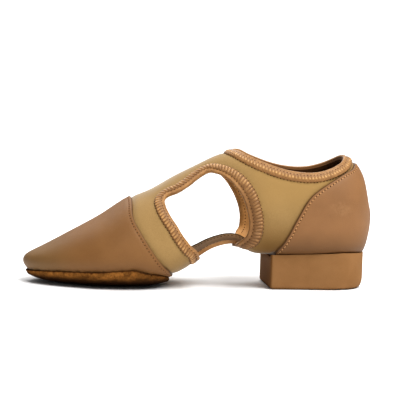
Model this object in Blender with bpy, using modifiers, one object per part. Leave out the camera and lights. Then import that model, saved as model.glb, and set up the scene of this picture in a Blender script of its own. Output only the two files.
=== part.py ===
"""A split-sole dance teaching shoe at its real size, for the left foot.

The toe points to -X, the heel to +X, the lateral side to -Y, and the floor is Z = 0.
Sizes are in millimetres, and become metres where a mesh is made.

The last is one closed form with a pole at the toe tip and one at the back of the heel.
A place on it has two coordinates: along, an angle from 0 at the toe to pi at the heel,
and around, an angle from 0 under the foot to -pi and pi on top, lateral side negative.
The style lines of the shoe are drawn on the last, one net of triangles is laid between
them, and each piece takes the triangles inside its own lines, at its own lift.
"""

import math
from collections import namedtuple

import bmesh
import bpy
from mathutils import Vector, geometry, kdtree

MILLIMETRE = 0.001

# Driving dimensions: thicknesses, gaps between the layers, widths and the places of the arch strap's ends
LAST_LENGTH = 244.4
WALL = 2.0
LEATHER = 1.0
SUEDE = 2.2
PAD = 2.0
BINDING = 0.8
BINDING_GAP = 0.6
GAP = 0.35
INNER_GAP = 0.9
LAP = 8.0
LAP_STEP = 1.6
COLLAR_BINDING_WIDTH = 7.2
COLLAR_MEDIAL_RISE = 1.5
WINDOW_BINDING_WIDTH = 8.0
BINDING_INNER_WIDTH = 5.0
BINDING_TURN = 0.8
STRAP_HALF_WIDTH = 17.0
STRAP_FRONT = -12.0
STRAP_BACK = 42.0
STRAP_STEPS = 8
PAD_STRAP_GAP = 0.8
BINDING_STRAP_GAP = 1.5
HEEL_FRONT = 48.5
HEEL_BACK = 118.8
HEEL_HALF_WIDTH = 26.6
HEEL_HEIGHT = 21.8
HEEL_RIM = 5.0
HEEL_RIM_SLOPE = 0.056
HEEL_SEAT_SLOPE = 0.032
HEEL_ROUND_START = 90.0
HEEL_ROUND_STEPS = 16
HEEL_ROUND_POWER = 0.95
HEEL_FRONT_CORNER = 2.0
CORNER_CUT = 0.3

# Fineness of the net and of the lines on it
NET_SPACING = 7.4
LINE_SPACING = 6.0
EDGE_SPACING = 5.2
COLLAR_BINDING_PARTS = 2
WINDOW_BINDING_PARTS = 5
LINE_CLEARANCE = 0.52
POLE_ROW = 0.4
CURVE_PARTS = 8
OVAL_STEPS = 40
SEARCH_STEPS = 40
ROW_STEPS = 240
PROFILE_STEPS = 600
NORMAL_STEP = 0.002
MERGE = 0.01
TINY = 1e-6

# Marks of a style line that lie on the ridge of the last, or on its keel
RIDGE = math.inf
KEEL = -math.inf

# Flat scale of the net, in millimetres for a radian, and how close two of its places count as one
ALONG_SCALE = 90.0
AROUND_SCALE = 36.0
NET_TOLERANCE = 1e-4

Section = namedtuple("Section", "x bottom top widest lateral medial centre crown keel roll")
Mark = namedtuple("Mark", "x z")
Share = namedtuple("Share", "x share")
Oval = namedtuple("Oval", "front back reach")
Level = namedtuple("Level", "z slope front back side")
Fold = namedtuple("Fold", "inward lift")

# Sections of the last, over the neoprene: the heights of keel, ridge and widest point, the half widths
# on both sides of the centre line, the fullness above and below, and the lift of the inner arch
SECTIONS = (
    Section(-122.2, 15.0, 15.0, 15.0, 0.0, 0.0, 4.0, 2.0, 2.0, 0.0),
    Section(-120.0, 10.0, 18.4, 14.8, 8.5, 8.5, 4.0, 2.0, 2.1, 0.0),
    Section(-116.0, 7.4, 20.8, 14.8, 14.5, 15.0, 3.8, 2.0, 2.2, 0.0),
    Section(-106.0, 5.0, 26.0, 15.5, 23.5, 25.5, 3.2, 2.0, 2.4, 0.0),
    Section(-90.0, 3.9, 35.0, 16.5, 33.0, 34.5, 2.0, 2.0, 2.5, 0.0),
    Section(-70.0, 3.4, 46.6, 18.5, 41.0, 39.5, 0.8, 2.0, 2.6, 0.0),
    Section(-50.0, 3.3, 60.0, 21.0, 42.8, 42.8, 0.0, 2.0, 2.6, 0.0),
    Section(-35.0, 4.0, 66.5, 24.5, 42.2, 40.2, 0.0, 2.0, 2.5, 0.5),
    Section(-20.0, 8.2, 75.5, 30.0, 40.0, 36.5, 0.0, 1.9, 2.4, 1.8),
    Section(-5.0, 16.6, 83.4, 36.0, 36.8, 33.5, 0.0, 1.9, 2.4, 3.0),
    Section(10.0, 26.0, 91.0, 42.0, 34.2, 31.2, 0.0, 1.9, 2.4, 3.2),
    Section(25.0, 28.8, 96.6, 45.5, 32.2, 30.0, 0.0, 2.0, 2.8, 2.4),
    Section(38.0, 24.4, 101.0, 47.6, 31.3, 29.8, 0.0, 2.0, 3.6, 0.7),
    Section(48.0, 23.7, 103.3, 48.8, 31.0, 29.9, 0.0, 2.0, 4.4, 0.1),
    Section(60.0, 24.0, 104.5, 50.0, 31.0, 30.2, 0.0, 2.0, 5.0, 0.0),
    Section(85.0, 24.8, 101.6, 51.5, 30.0, 29.6, 0.0, 2.0, 5.5, 0.0),
    Section(102.0, 25.4, 94.0, 52.0, 26.5, 26.3, 0.0, 2.1, 5.5, 0.0),
    Section(111.0, 25.7, 86.9, 52.0, 21.0, 21.0, 0.0, 2.2, 5.0, 0.0),
    Section(116.0, 26.2, 78.0, 52.0, 15.4, 15.4, 0.0, 2.2, 4.0, 0.0),
    Section(119.4, 32.5, 63.8, 51.5, 10.0, 10.0, 0.0, 2.1, 2.6, 0.0),
    Section(122.2, 50.0, 50.0, 50.0, 0.0, 0.0, 0.0, 2.0, 2.0, 0.0),
)

# Back edge of the leather toe cap, from the ridge down to the keel
TOE_CAP_EDGE = (
    Mark(-48.8, RIDGE), Mark(-49.0, 56.4), Mark(-49.3, 51.2), Mark(-48.0, 45.9), Mark(-44.0, 38.8),
    Mark(-39.2, 31.3), Mark(-34.0, 23.9), Mark(-28.6, 17.4), Mark(-23.1, 12.4), Mark(-18.5, KEEL),
)

# Front edge of the leather heel counter, from the ridge down to the keel
COUNTER_EDGE = (
    Mark(110.6, RIDGE), Mark(106.5, 85.0), Mark(100.1, 82.0), Mark(93.0, 78.1), Mark(86.6, 74.3),
    Mark(80.6, 70.3), Mark(75.4, 66.1), Mark(71.0, 60.4), Mark(67.3, 53.9), Mark(63.6, 46.8),
    Mark(60.1, 39.7), Mark(55.9, 32.5), Mark(52.3, 28.0), Mark(49.5, KEEL),
)

# Top edge of the collar, from the front of the throat to the back
COLLAR_EDGE = (
    Mark(22.6, RIDGE), Mark(28.6, 93.8), Mark(35.1, 90.8), Mark(43.1, 87.7), Mark(51.3, 84.9),
    Mark(60.0, 82.8), Mark(70.5, 81.6), Mark(80.0, 82.0), Mark(88.0, 84.0), Mark(95.0, 87.0),
    Mark(100.2, 90.4), Mark(103.0, RIDGE),
)

# Edge of the cut-outs: up the front rim and along the instep strap, and then down the back rim, which
# turns forward lower down on the medial side
WINDOW_RIM = (
    Mark(0.5, KEEL), Mark(-4.9, 25.8), Mark(-7.5, 28.3), Mark(-10.4, 31.0), Mark(-13.0, 34.1),
    Mark(-16.5, 38.8), Mark(-19.9, 44.4), Mark(-23.3, 49.2), Mark(-26.2, 54.3), Mark(-27.6, 58.2),
    Mark(-27.9, 61.6), Mark(-25.9, 64.5), Mark(-18.4, 67.5), Mark(-10.6, 72.3), Mark(-2.6, 78.5),
    Mark(3.0, 81.8), Mark(8.5, 81.3), Mark(14.7, 79.0), Mark(19.6, 75.5), Mark(24.4, 70.0),
)
WINDOW_END_LATERAL = (
    Mark(28.4, 63.3), Mark(30.8, 55.9), Mark(32.4, 48.5), Mark(32.3, 42.0), Mark(31.1, 37.8),
    Mark(28.9, 34.6), Mark(26.4, 32.4), Mark(24.0, KEEL),
)
WINDOW_END_MEDIAL = (
    Mark(28.7, 63.3), Mark(32.0, 55.9), Mark(33.8, 48.5), Mark(33.9, 42.0), Mark(33.2, 37.8),
    Mark(30.8, 34.4), Mark(24.0, KEEL),
)

# Edge of the suede sole, from the keel under the toe to the keel behind the ball of the foot
SOLE_EDGE = (
    Mark(-119.8, KEEL), Mark(-118.6, 9.9), Mark(-114.4, 10.2), Mark(-101.2, 11.2), Mark(-87.3, 11.9),
    Mark(-73.3, 12.6), Mark(-62.5, 13.5), Mark(-48.8, 14.6), Mark(-40.6, 12.9), Mark(-31.0, 11.5),
    Mark(-26.4, 10.2), Mark(-23.6, 9.0), Mark(-23.0, KEEL),
)

# Half outlines of the insole pads, as a share of the half width of the last
FOREFOOT_PAD = (
    Share(-115.0, 0.0), Share(-113.0, 0.42), Share(-106.0, 0.62), Share(-90.0, 0.74), Share(-70.0, 0.78),
    Share(-50.0, 0.8), Share(-35.0, 0.78), Share(-20.0, 0.7), Share(STRAP_FRONT - PAD_STRAP_GAP, 0.62),
)
HEEL_PAD = (
    Share(STRAP_BACK + PAD_STRAP_GAP, 0.66), Share(52.0, 0.72), Share(70.0, 0.74), Share(88.0, 0.74),
    Share(102.0, 0.68), Share(109.0, 0.5), Share(111.5, 0.0),
)

# Feather line of the heel, where its side turns under to the seat
HEEL_FEATHER = (
    Share(46.0, 0.93), Share(56.0, 0.93), Share(70.0, 0.93), Share(85.0, 0.93), Share(98.0, 0.92),
    Share(107.0, 0.9), Share(113.0, 0.8), Share(116.0, 0.55), Share(117.0, 0.0),
)

# Openings of the leather under the foot, which the sole, the heel and the insole pads cover: both ends,
# and how far around
TOE_CAP_OPENING = Oval(-106.0, -38.0, 1.05)
COUNTER_OPENING = Oval(66.0, 106.0, 0.52)
OVAL_POWER = 0.8

# Levels of the block heel from the floor to the rim and the seat within it: height, rise of the level
# towards the back, and how far its front, back and sides are drawn in
HEEL_LEVELS = (
    Level(0.0, 0.0, 1.5, 3.6, 2.0), Level(0.4, 0.0, 0.7, 2.5, 1.3), Level(1.4, 0.0, 0.2, 1.5, 0.7),
    Level(4.0, 0.0, 0.0, 0.6, 0.4), Level(8.0, 0.0, 0.0, 0.1, 0.2),
    Level(HEEL_HEIGHT, HEEL_RIM_SLOPE, 0.0, 0.0, 0.0),
    Level(HEEL_HEIGHT, HEEL_SEAT_SLOPE, HEEL_RIM, HEEL_RIM, HEEL_RIM),
)

# Colours from the photo, linear, with roughness
FINISHES = {
    "upper": ((0.46, 0.29, 0.11), 0.9),
    "toe_cap": ((0.29, 0.14, 0.056), 0.5),
    "heel_counter": ((0.33, 0.16, 0.07), 0.5),
    "collar_binding": ((0.55, 0.32, 0.12), 0.45),
    "window_binding_lateral": ((0.55, 0.32, 0.12), 0.45),
    "window_binding_medial": ((0.55, 0.32, 0.12), 0.45),
    "sole_patch": ((0.18, 0.075, 0.018), 0.95),
    "heel_block": ((0.31, 0.15, 0.06), 0.5),
    "insole_forefoot": ((0.2, 0.12, 0.06), 0.9),
    "insole_heel": ((0.2, 0.12, 0.06), 0.9),
    "arch_strap": ((0.5, 0.3, 0.12), 0.6),
}


def along_at(x):
    """Angle along the last of a distance x from its middle."""
    return math.acos(max(-1.0, min(1.0, -2.0 * x / LAST_LENGTH)))


STATIONS = [along_at(section.x) for section in SECTIONS]


def slope_at(index, values):
    """Slope of a table column at one of its rows, for a smooth curve through the rows."""
    last = len(values) - 1
    before = max(index - 1, 0)
    after = min(index + 1, last)
    if before == index or after == index:
        return (values[after] - values[before]) / (STATIONS[after] - STATIONS[before])
    left = STATIONS[index] - STATIONS[before]
    right = STATIONS[after] - STATIONS[index]
    rise_left = (values[index] - values[before]) / left
    rise_right = (values[after] - values[index]) / right
    return (rise_left * right + rise_right * left) / (left + right)


COLUMNS = list(zip(*SECTIONS))
SLOPES = [[slope_at(row, column) for row in range(len(column))] for column in COLUMNS]


def section_at(along):
    """Section of the last at an angle along it, by a smooth curve through the table's rows."""
    row = 0
    while row < len(STATIONS) - 2 and along > STATIONS[row + 1]:
        row += 1
    span = STATIONS[row + 1] - STATIONS[row]
    t = max(0.0, min(1.0, (along - STATIONS[row]) / span))
    start = 2 * t ** 3 - 3 * t ** 2 + 1
    leave = (t ** 3 - 2 * t ** 2 + t) * span
    arrive = (t ** 3 - t ** 2) * span
    return Section(*(
        start * column[row] + leave * slopes[row] + (1 - start) * column[row + 1] + arrive * slopes[row + 1]
        for column, slopes in zip(COLUMNS, SLOPES)
    ))


def last_point(along, around):
    """Point of the last at its two angles."""
    section = section_at(along)
    x = -0.5 * LAST_LENGTH * math.cos(along)
    side = math.sin(around)
    height = -math.cos(around)
    half = section.medial if side > 0 else section.lateral
    rise = section.top - section.widest if height > 0 else section.widest - section.bottom
    power = section.crown if height > 0 else section.keel
    if half < TINY or rise < TINY:
        return Vector((x, section.centre, section.widest))
    reach = (abs(side / half) ** power + abs(height / rise) ** power) ** (-1.0 / power)
    lift = section.roll * reach * side / half * 0.5 * (1.0 - height)
    return Vector((x, section.centre + reach * side, section.widest + reach * height + lift))


def last_axes(along, around):
    """Changes of the last's point with each angle, and its outward normal."""
    step = NORMAL_STEP
    along = max(2 * step, min(math.pi - 2 * step, along))
    by_along = (last_point(along + step, around) - last_point(along - step, around)) / (2 * step)
    by_around = (last_point(along, around + step) - last_point(along, around - step)) / (2 * step)
    return by_along, by_around, by_around.cross(by_along).normalized()


def lifted_point(along, around, lift):
    """Point off the last along its normal, outwards for a positive lift."""
    return last_point(along, around) + lift * last_axes(along, around)[2]


def around_at_height(along, z, side):
    """Angle around the last, on the side of that sign, where its surface has the height z."""
    low = 0.0
    high = math.pi
    for _ in range(SEARCH_STEPS):
        middle = 0.5 * (low + high)
        if last_point(along, side * middle).z < z:
            low = middle
        else:
            high = middle
    if z == RIDGE:
        return side * math.pi
    return 0.0 if z == KEEL else side * high


def around_at_share(along, share, side):
    """Angle around the last, on the side of that sign, at a share of its half width under the foot."""
    section = section_at(along)
    half = section.medial if side > 0 else section.lateral
    low = 0.0
    high = 0.5 * math.pi
    for _ in range(SEARCH_STEPS):
        middle = 0.5 * (low + high)
        if abs(last_point(along, side * middle).y - section.centre) < share * half:
            low = middle
        else:
            high = middle
    return side * low


def flat(place):
    """Place on the last laid flat for the net."""
    return Vector((place[0] * ALONG_SCALE, place[1] * AROUND_SCALE))


def marked_places(marks, side):
    """Places on one side of the last of the marks of a style line."""
    places = []
    for mark in marks:
        along = along_at(mark.x)
        places.append((along, around_at_height(along, mark.z, side)))
    return places


def shared_places(shares, side):
    """Places under one side of the last of a pad's half outline."""
    return [(along_at(row.x), around_at_share(along_at(row.x), row.share, side)) for row in shares]


def knot_gap(first, second):
    """Root of the distance between two places of the flat net, which spaces the knots of a curve."""
    return math.sqrt(max((flat(second) - flat(first)).length, TINY))


def smooth_line(places, closed=False):
    """Places on a smooth curve through the given ones, in CURVE_PARTS parts for each stretch."""
    count = len(places)
    line = []
    for index in range(count if closed else count - 1):
        if closed:
            corners = [places[(index + k) % count] for k in (-1, 0, 1, 2)]
        else:
            corners = [places[max(0, min(count - 1, index + k))] for k in (-1, 0, 1, 2)]
        first, middle, last = (knot_gap(*pair) for pair in zip(corners, corners[1:]))
        before, start, end, after = (Vector(corner) for corner in corners)
        leave = end - start + middle * ((start - before) / first - (end - before) / (first + middle))
        arrive = end - start + middle * ((after - end) / last - (after - start) / (middle + last))
        for part in range(CURVE_PARTS):
            t = part / CURVE_PARTS
            blend = 2 * t ** 3 - 3 * t ** 2 + 1
            place = start * blend + end * (1 - blend)
            place += leave * (t ** 3 - 2 * t ** 2 + t) + arrive * (t ** 3 - t ** 2)
            line.append(tuple(place))
    if not closed:
        line.append(tuple(places[-1]))
    return line


def distances(points):
    """Way travelled to each of the points from the first one."""
    travelled = [0.0]
    for start, end in zip(points, points[1:]):
        travelled.append(travelled[-1] + (end - start).length)
    return travelled


def even_line(line, spacing, closed=False):
    """The same line with its places evenly apart on the last, both ends kept."""
    route = line + [line[0]] if closed else line
    travelled = distances([last_point(*place) for place in route])
    count = max(2, round(travelled[-1] / spacing))
    even = []
    row = 0
    for index in range(count if closed else count + 1):
        goal = travelled[-1] * index / count
        while row < len(route) - 2 and travelled[row + 1] < goal:
            row += 1
        stretch = max(travelled[row + 1] - travelled[row], TINY)
        t = (goal - travelled[row]) / stretch
        even.append(tuple(Vector(route[row]).lerp(Vector(route[row + 1]), t)))
    return even


def edge_across(marks):
    """A style line that runs from the ridge under the foot and back up to the ridge."""
    lateral = marked_places(marks, -1)
    medial = marked_places(marks, 1)
    return even_line(smooth_line(lateral + medial[-2::-1]), LINE_SPACING)


def loop_under(lateral_marks, medial_marks, spacing):
    """A closed line under the foot, whose half outlines both start and end on the keel."""
    lateral = marked_places(lateral_marks, -1)
    medial = marked_places(medial_marks, 1)
    return even_line(smooth_line(lateral + medial[-2:0:-1], closed=True), spacing, closed=True)


def cut_between(start, end, parts):
    """Places of a straight cut between two places, without its ends."""
    return [tuple(Vector(start).lerp(Vector(end), part / parts)) for part in range(1, parts)]


def pad_outline(shares, front_cut):
    """Closed outline of an insole pad, cut straight in front and round behind, or the other way."""
    lateral = even_line(smooth_line(shared_places(shares, -1)), LINE_SPACING)
    medial = even_line(smooth_line(shared_places(shares, 1)), LINE_SPACING)
    if front_cut:
        return lateral + medial[-2::-1] + cut_between(medial[0], lateral[0], 6)
    return lateral + cut_between(lateral[-1], medial[-1], 6) + medial[:0:-1]


def strap_side(side):
    """Edge of the arch strap on one side, from front to back."""
    places = []
    for step in range(STRAP_STEPS + 1):
        along = along_at(STRAP_FRONT + (STRAP_BACK - STRAP_FRONT) * step / STRAP_STEPS)
        section = section_at(along)
        half = section.medial if side > 0 else section.lateral
        places.append((along, around_at_share(along, STRAP_HALF_WIDTH / half, side)))
    return places


def strap_outline():
    """Closed outline of the arch strap, of an even width."""
    lateral = strap_side(-1)
    medial = strap_side(1)
    back = cut_between(lateral[-1], medial[-1], 5)
    front = cut_between(medial[0], lateral[0], 5)
    return lateral + back + medial[::-1] + front


def signed_power(value, power):
    """Power of a value's size, with the value's sign."""
    return math.copysign(abs(value) ** power, value)


def inside(place, outline):
    """Whether a place of the flat net lies inside a closed outline."""
    hit = False
    for start, end in zip(outline, outline[1:] + outline[:1]):
        if (start[1] > place[1]) != (end[1] > place[1]):
            cross = start[0] + (place[1] - start[1]) / (end[1] - start[1]) * (end[0] - start[0])
            if place[0] < cross:
                hit = not hit
    return hit


def plane_step(by_along, by_around, direction):
    """Changes of the two angles that move a place one millimetre in a direction along the last."""
    aa = by_along.dot(by_along)
    ab = by_along.dot(by_around)
    bb = by_around.dot(by_around)
    da = direction.dot(by_along)
    db = direction.dot(by_around)
    scale = aa * bb - ab * ab
    return ((da * bb - db * ab) / scale, (db * aa - da * ab) / scale)


def step_across(place, before, after):
    """Changes of the two angles that move a place one millimetre across the line through its neighbours."""
    by_along, by_around, normal = last_axes(*place)
    tangent = (last_point(*after) - last_point(*before)).normalized()
    return plane_step(by_along, by_around, normal.cross(tangent).normalized())


def moved_line(line, distance, area):
    """A style line moved across the last into an area, its ends kept on the ridge."""
    moved = []
    for index, place in enumerate(line):
        before = line[max(index - 1, 0)]
        after = line[min(index + 1, len(line) - 1)]
        step = step_across(place, before, after)
        if not inside((place[0] + step[0], place[1] + step[1]), area):
            step = (-step[0], -step[1])
        at_end = index in (0, len(line) - 1)
        turn = 0.0 if at_end else distance * step[1]
        moved.append((place[0] + distance * step[0], place[1] + turn))
    return moved


def oval_under(oval):
    """Closed oval opening under the foot, a little fuller than an ellipse."""
    middle = 0.5 * (oval.front + oval.back)
    half = 0.5 * (oval.back - oval.front)
    places = []
    for step in range(OVAL_STEPS):
        turn = 2 * math.pi * step / OVAL_STEPS
        x = middle - half * signed_power(math.cos(turn), OVAL_POWER)
        places.append((along_at(x), oval.reach * signed_power(math.sin(turn), OVAL_POWER)))
    return even_line(places, LINE_SPACING, closed=True)


def collar_halves():
    """The collar's edge on the lateral side and on the medial side, from the throat to the back."""
    lateral = marked_places(COLLAR_EDGE, -1)
    raised = [Mark(mark.x, mark.z + COLLAR_MEDIAL_RISE) for mark in COLLAR_EDGE]
    medial = [(along, around - 2 * math.pi) for along, around in marked_places(raised, 1)]
    loop = smooth_line(lateral + medial[-2:0:-1], closed=True)
    turn = CURVE_PARTS * (len(COLLAR_EDGE) - 1)
    near = loop[:turn + 1]
    far = loop[turn:] + loop[:1]
    return even_line(near, EDGE_SPACING), even_line(far[::-1], EDGE_SPACING)


def step_at(travelled, goal):
    """Number of the first step that has travelled as far as the goal."""
    return next(step for step, way in enumerate(travelled) if way >= goal)


def net_rows():
    """Angles along the last of the net's rows, evenly apart over the mean of four profiles."""
    angles = [math.pi * step / PROFILE_STEPS for step in range(PROFILE_STEPS + 1)]
    profiles = []
    for turn in (0.0, -0.5 * math.pi, 0.5 * math.pi, math.pi):
        profiles.append(distances([last_point(angle, turn) for angle in angles]))
    travelled = [sum(ways) / len(ways) for ways in zip(*profiles)]
    count = round(travelled[-1] / NET_SPACING)
    numbers = [POLE_ROW, *range(1, count), count - POLE_ROW]
    return [angles[step_at(travelled, travelled[-1] * number / count)] for number in numbers]


def row_places(along, staggered):
    """Places of one row of the net, evenly apart around the section."""
    turns = [-math.pi + 2 * math.pi * step / ROW_STEPS for step in range(ROW_STEPS + 1)]
    travelled = distances([last_point(along, turn) for turn in turns])
    count = max(5, round(travelled[-1] / NET_SPACING))
    offset = 0.5 if staggered else 1.0
    places = []
    for index in range(count if staggered else count - 1):
        places.append((along, turns[step_at(travelled, travelled[-1] * (index + offset) / count)]))
    return places


class Net:
    """Triangles over the whole last that follow every style line."""

    def __init__(self, lines, loops, seam_places):
        """Lay the net between open lines, closed loops and the line ends that lie on the ridge."""
        self.places = []
        self.edges = []
        self.clearance = LINE_CLEARANCE * NET_SPACING
        for line in lines:
            self.add_chain(line)
        for loop in loops:
            self.add_chain(loop, closed=True)
        rows = net_rows()
        self.add_rows(rows)
        self.add_seam(rows, seam_places)
        flat_places = [flat(place) for place in self.places]
        result = geometry.delaunay_2d_cdt(flat_places, self.edges, [], 0, NET_TOLERANCE)
        self.places = [(spot.x / ALONG_SCALE, spot.y / AROUND_SCALE) for spot in result[0]]
        self.triangles = result[2]
        self.points = [last_point(*place) for place in self.places]
        self.normals = [last_axes(*place)[2] for place in self.places]

    def add_chain(self, places, closed=False):
        """Add the places of a line, and the edges between them."""
        first = len(self.places)
        last = first + len(places) - 1
        self.places += places
        self.edges += [(index, index + 1) for index in range(first, last)]
        if closed:
            self.edges.append((last, first))

    def add_rows(self, rows):
        """Add the places of the rows that keep clear of every line."""
        marked = kdtree.KDTree(len(self.places))
        for index, place in enumerate(self.places):
            marked.insert(last_point(*place), index)
        marked.balance()
        for number, along in enumerate(rows):
            for place in row_places(along, staggered=number % 2 == 1):
                if marked.find(last_point(*place))[2] > self.clearance:
                    self.places.append(place)

    def add_seam(self, rows, seam_places):
        """Add the ridge, where the net is cut open, and the poles at both ends."""
        seam = [0.0, math.pi, *seam_places]
        for along in rows:
            point = last_point(along, math.pi)
            if all((point - last_point(other, math.pi)).length > self.clearance for other in seam):
                seam.append(along)
        seam.sort()
        for side in (-math.pi, math.pi):
            self.add_chain([(along, side) for along in seam])
        for pole in (0.0, math.pi):
            self.add_chain([(pole, -math.pi), (pole, math.pi)])

    def middle(self, triangle):
        """Place in the middle of a triangle."""
        return (sum(self.places[k][0] for k in triangle) / 3, sum(self.places[k][1] for k in triangle) / 3)

    def sheet(self, name, lift, keep, weigh):
        """Open mesh, off the last by a lift, of the triangles whose middle the keep test takes.

        The weigh test gives each corner its share of the wall's thickness.
        """
        shape = bmesh.new()
        weights = shape.verts.layers.deform.verify()
        corners = {}
        for triangle in self.triangles:
            if not keep(self.middle(triangle)):
                continue
            for k in triangle:
                if k not in corners:
                    corners[k] = shape.verts.new((self.points[k] + lift * self.normals[k]) * MILLIMETRE)
                    corners[k][weights][0] = weigh(self.places[k])
            shape.faces.new([corners[k] for k in reversed(triangle)])
        bmesh.ops.remove_doubles(shape, verts=shape.verts, dist=MERGE * MILLIMETRE)
        bmesh.ops.dissolve_degenerate(shape, edges=shape.edges, dist=MERGE * MILLIMETRE)
        mesh = bpy.data.meshes.new(name)
        shape.to_mesh(mesh)
        shape.free()
        return mesh


def clear_scene():
    """Remove every object of the scene."""
    for thing in list(bpy.data.objects):
        bpy.data.objects.remove(thing, do_unlink=True)


def finish_of(name):
    """Material of one piece."""
    colour, roughness = FINISHES[name]
    material = bpy.data.materials.new(name)
    material.use_nodes = True
    shader = material.node_tree.nodes["Principled BSDF"]
    shader.inputs["Base Color"].default_value = (*colour, 1.0)
    shader.inputs["Roughness"].default_value = roughness
    shader.inputs["Metallic"].default_value = 0.0
    return material


def add_piece(name, mesh, collection):
    """Object of a mesh, with its material, in the shoe's collection."""
    mesh.materials.append(finish_of(name))
    mesh.shade_smooth()
    piece = bpy.data.objects.new(name, mesh)
    collection.objects.link(piece)
    return piece


def thicken(piece, thickness, outwards):
    """Give a sheet its thickness, outwards or inwards from where it lies, by its corners' shares."""
    piece.vertex_groups.new(name="share of the wall")
    wall = piece.modifiers.new("wall", "SOLIDIFY")
    wall.vertex_group = "share of the wall"
    wall.thickness = thickness * MILLIMETRE
    wall.offset = 1.0 if outwards else -1.0
    wall.use_even_offset = True


def press_flat(piece):
    """Press what lies below the floor flat on it."""
    evaluated = piece.evaluated_get(bpy.context.evaluated_depsgraph_get())
    mesh = bpy.data.meshes.new_from_object(evaluated)
    piece.modifiers.clear()
    piece.data = mesh
    for corner in mesh.vertices:
        corner.co.z = max(corner.co.z, 0.0)


def binding_folds(width, parts):
    """Section of a folded binding: how far each corner is in from the edge, and its lift off the last."""
    top = BINDING_GAP + BINDING
    bottom = -WALL - INNER_GAP - BINDING
    turn = BINDING_TURN * top
    steps = [width * step / parts for step in range(parts + 1)]
    return [
        *(Fold(step, top) for step in reversed(steps)),
        Fold(-turn, 0.0), Fold(-top, -0.5 * WALL), Fold(-turn, -WALL), Fold(0.0, bottom),
        Fold(BINDING_INNER_WIDTH, bottom), Fold(BINDING_INNER_WIDTH, bottom + BINDING),
        Fold(-GAP, bottom + BINDING), Fold(-GAP, BINDING_GAP),
        *(Fold(step, BINDING_GAP) for step in steps[1:]),
    ]


def binding_mesh(name, path, hole, folds, closed):
    """Binding folded over the edge of a hole, along a path of places on the last."""
    shape = bmesh.new()
    rings = []
    count = len(path)
    for index, place in enumerate(path):
        before = path[index - 1] if closed or index else place
        after = path[(index + 1) % count] if closed or index + 1 < count else place
        step = step_across(place, before, after)
        if inside((place[0] + step[0], place[1] + step[1]), hole):
            step = (-step[0], -step[1])
        ring = []
        for fold in folds:
            spot = (place[0] + fold.inward * step[0], place[1] + fold.inward * step[1])
            ring.append(shape.verts.new(lifted_point(*spot, fold.lift) * MILLIMETRE))
        rings.append(ring)
    pairs = list(zip(rings, rings[1:] + rings[:1])) if closed else list(zip(rings, rings[1:]))
    for ring, following in pairs:
        for k in range(len(folds)):
            after = (k + 1) % len(folds)
            shape.faces.new((ring[k], ring[after], following[after], following[k]))
    if not closed:
        shape.faces.new(rings[0])
        shape.faces.new(rings[-1])
    bmesh.ops.recalc_face_normals(shape, faces=shape.faces)
    bmesh.ops.triangulate(shape, faces=shape.faces)
    mesh = bpy.data.meshes.new(name)
    shape.to_mesh(mesh)
    shape.free()
    return mesh


def side_path(loop, side):
    """Stretch of the cut-outs' loop on one side, from the strap's edge in front to its edge behind."""
    return [place for place in loop
            if side * place[1] > 0.5 * math.pi
            or side * last_point(*place).y > STRAP_HALF_WIDTH + BINDING_STRAP_GAP]


def heel_outline(level):
    """Outline of the block heel at one level: a straight front and a round back."""
    front = HEEL_FRONT + level.front
    side = HEEL_HALF_WIDTH - level.side
    cut = CORNER_CUT * HEEL_FRONT_CORNER
    corner = [
        (front, HEEL_FRONT_CORNER - side),
        (front + cut, cut - side),
        (front + HEEL_FRONT_CORNER, -side),
    ]
    back = []
    for step in range(HEEL_ROUND_STEPS + 1):
        turn = math.pi * (step / HEEL_ROUND_STEPS - 0.5)
        reach = (HEEL_BACK - level.back - HEEL_ROUND_START) * abs(math.cos(turn)) ** HEEL_ROUND_POWER
        back.append((HEEL_ROUND_START + reach, side * math.sin(turn)))
    return corner + back + [(x, -y) for x, y in reversed(corner)]


def heel_mesh(name):
    """Block heel, lofted through its levels."""
    shape = bmesh.new()
    rings = []
    for level in HEEL_LEVELS:
        ring = []
        for x, y in heel_outline(level):
            z = level.z + level.slope * (x - HEEL_FRONT)
            ring.append(shape.verts.new(Vector((x, y, z)) * MILLIMETRE))
        rings.append(ring)
    for lower, upper in zip(rings, rings[1:]):
        for k in range(len(lower)):
            after = (k + 1) % len(lower)
            shape.faces.new((lower[k], lower[after], upper[after], upper[k]))
    shape.faces.new(rings[0])
    shape.faces.new(rings[-1])
    bmesh.ops.recalc_face_normals(shape, faces=shape.faces)
    mesh = bpy.data.meshes.new(name)
    shape.to_mesh(mesh)
    shape.free()
    return mesh


class Lap:
    """Leather that laps over the neoprene along its edge, and is the whole wall beyond."""

    def __init__(self, edge, pole, opening):
        """Lay out the lines of a piece between its edge, its pole and its opening under the foot."""
        corners = [(pole, math.pi), (pole, -math.pi)]
        self.edge = edge
        self.area = edge + corners
        self.opening = opening
        self.neoprene_end = moved_line(edge, LAP, self.area)
        self.wall_start = moved_line(edge, LAP + LAP_STEP, self.area)
        self.past_neoprene = self.neoprene_end + corners
        self.deep = moved_line(edge, LAP + 0.5 * LAP_STEP, self.area) + corners
        self.lines = [edge, self.neoprene_end, self.wall_start]

    def covers(self, place):
        """Whether a place is on the leather."""
        return inside(place, self.area) and not inside(place, self.opening)

    def weigh(self, place):
        """Share of the full wall at a place: all of it, or the leather alone over the neoprene."""
        return 1.0 if inside(place, self.deep) else LEATHER / (LEATHER + GAP + WALL)


def full_wall(_place):
    """Share of the wall's thickness on a piece of one thickness."""
    return 1.0


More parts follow.
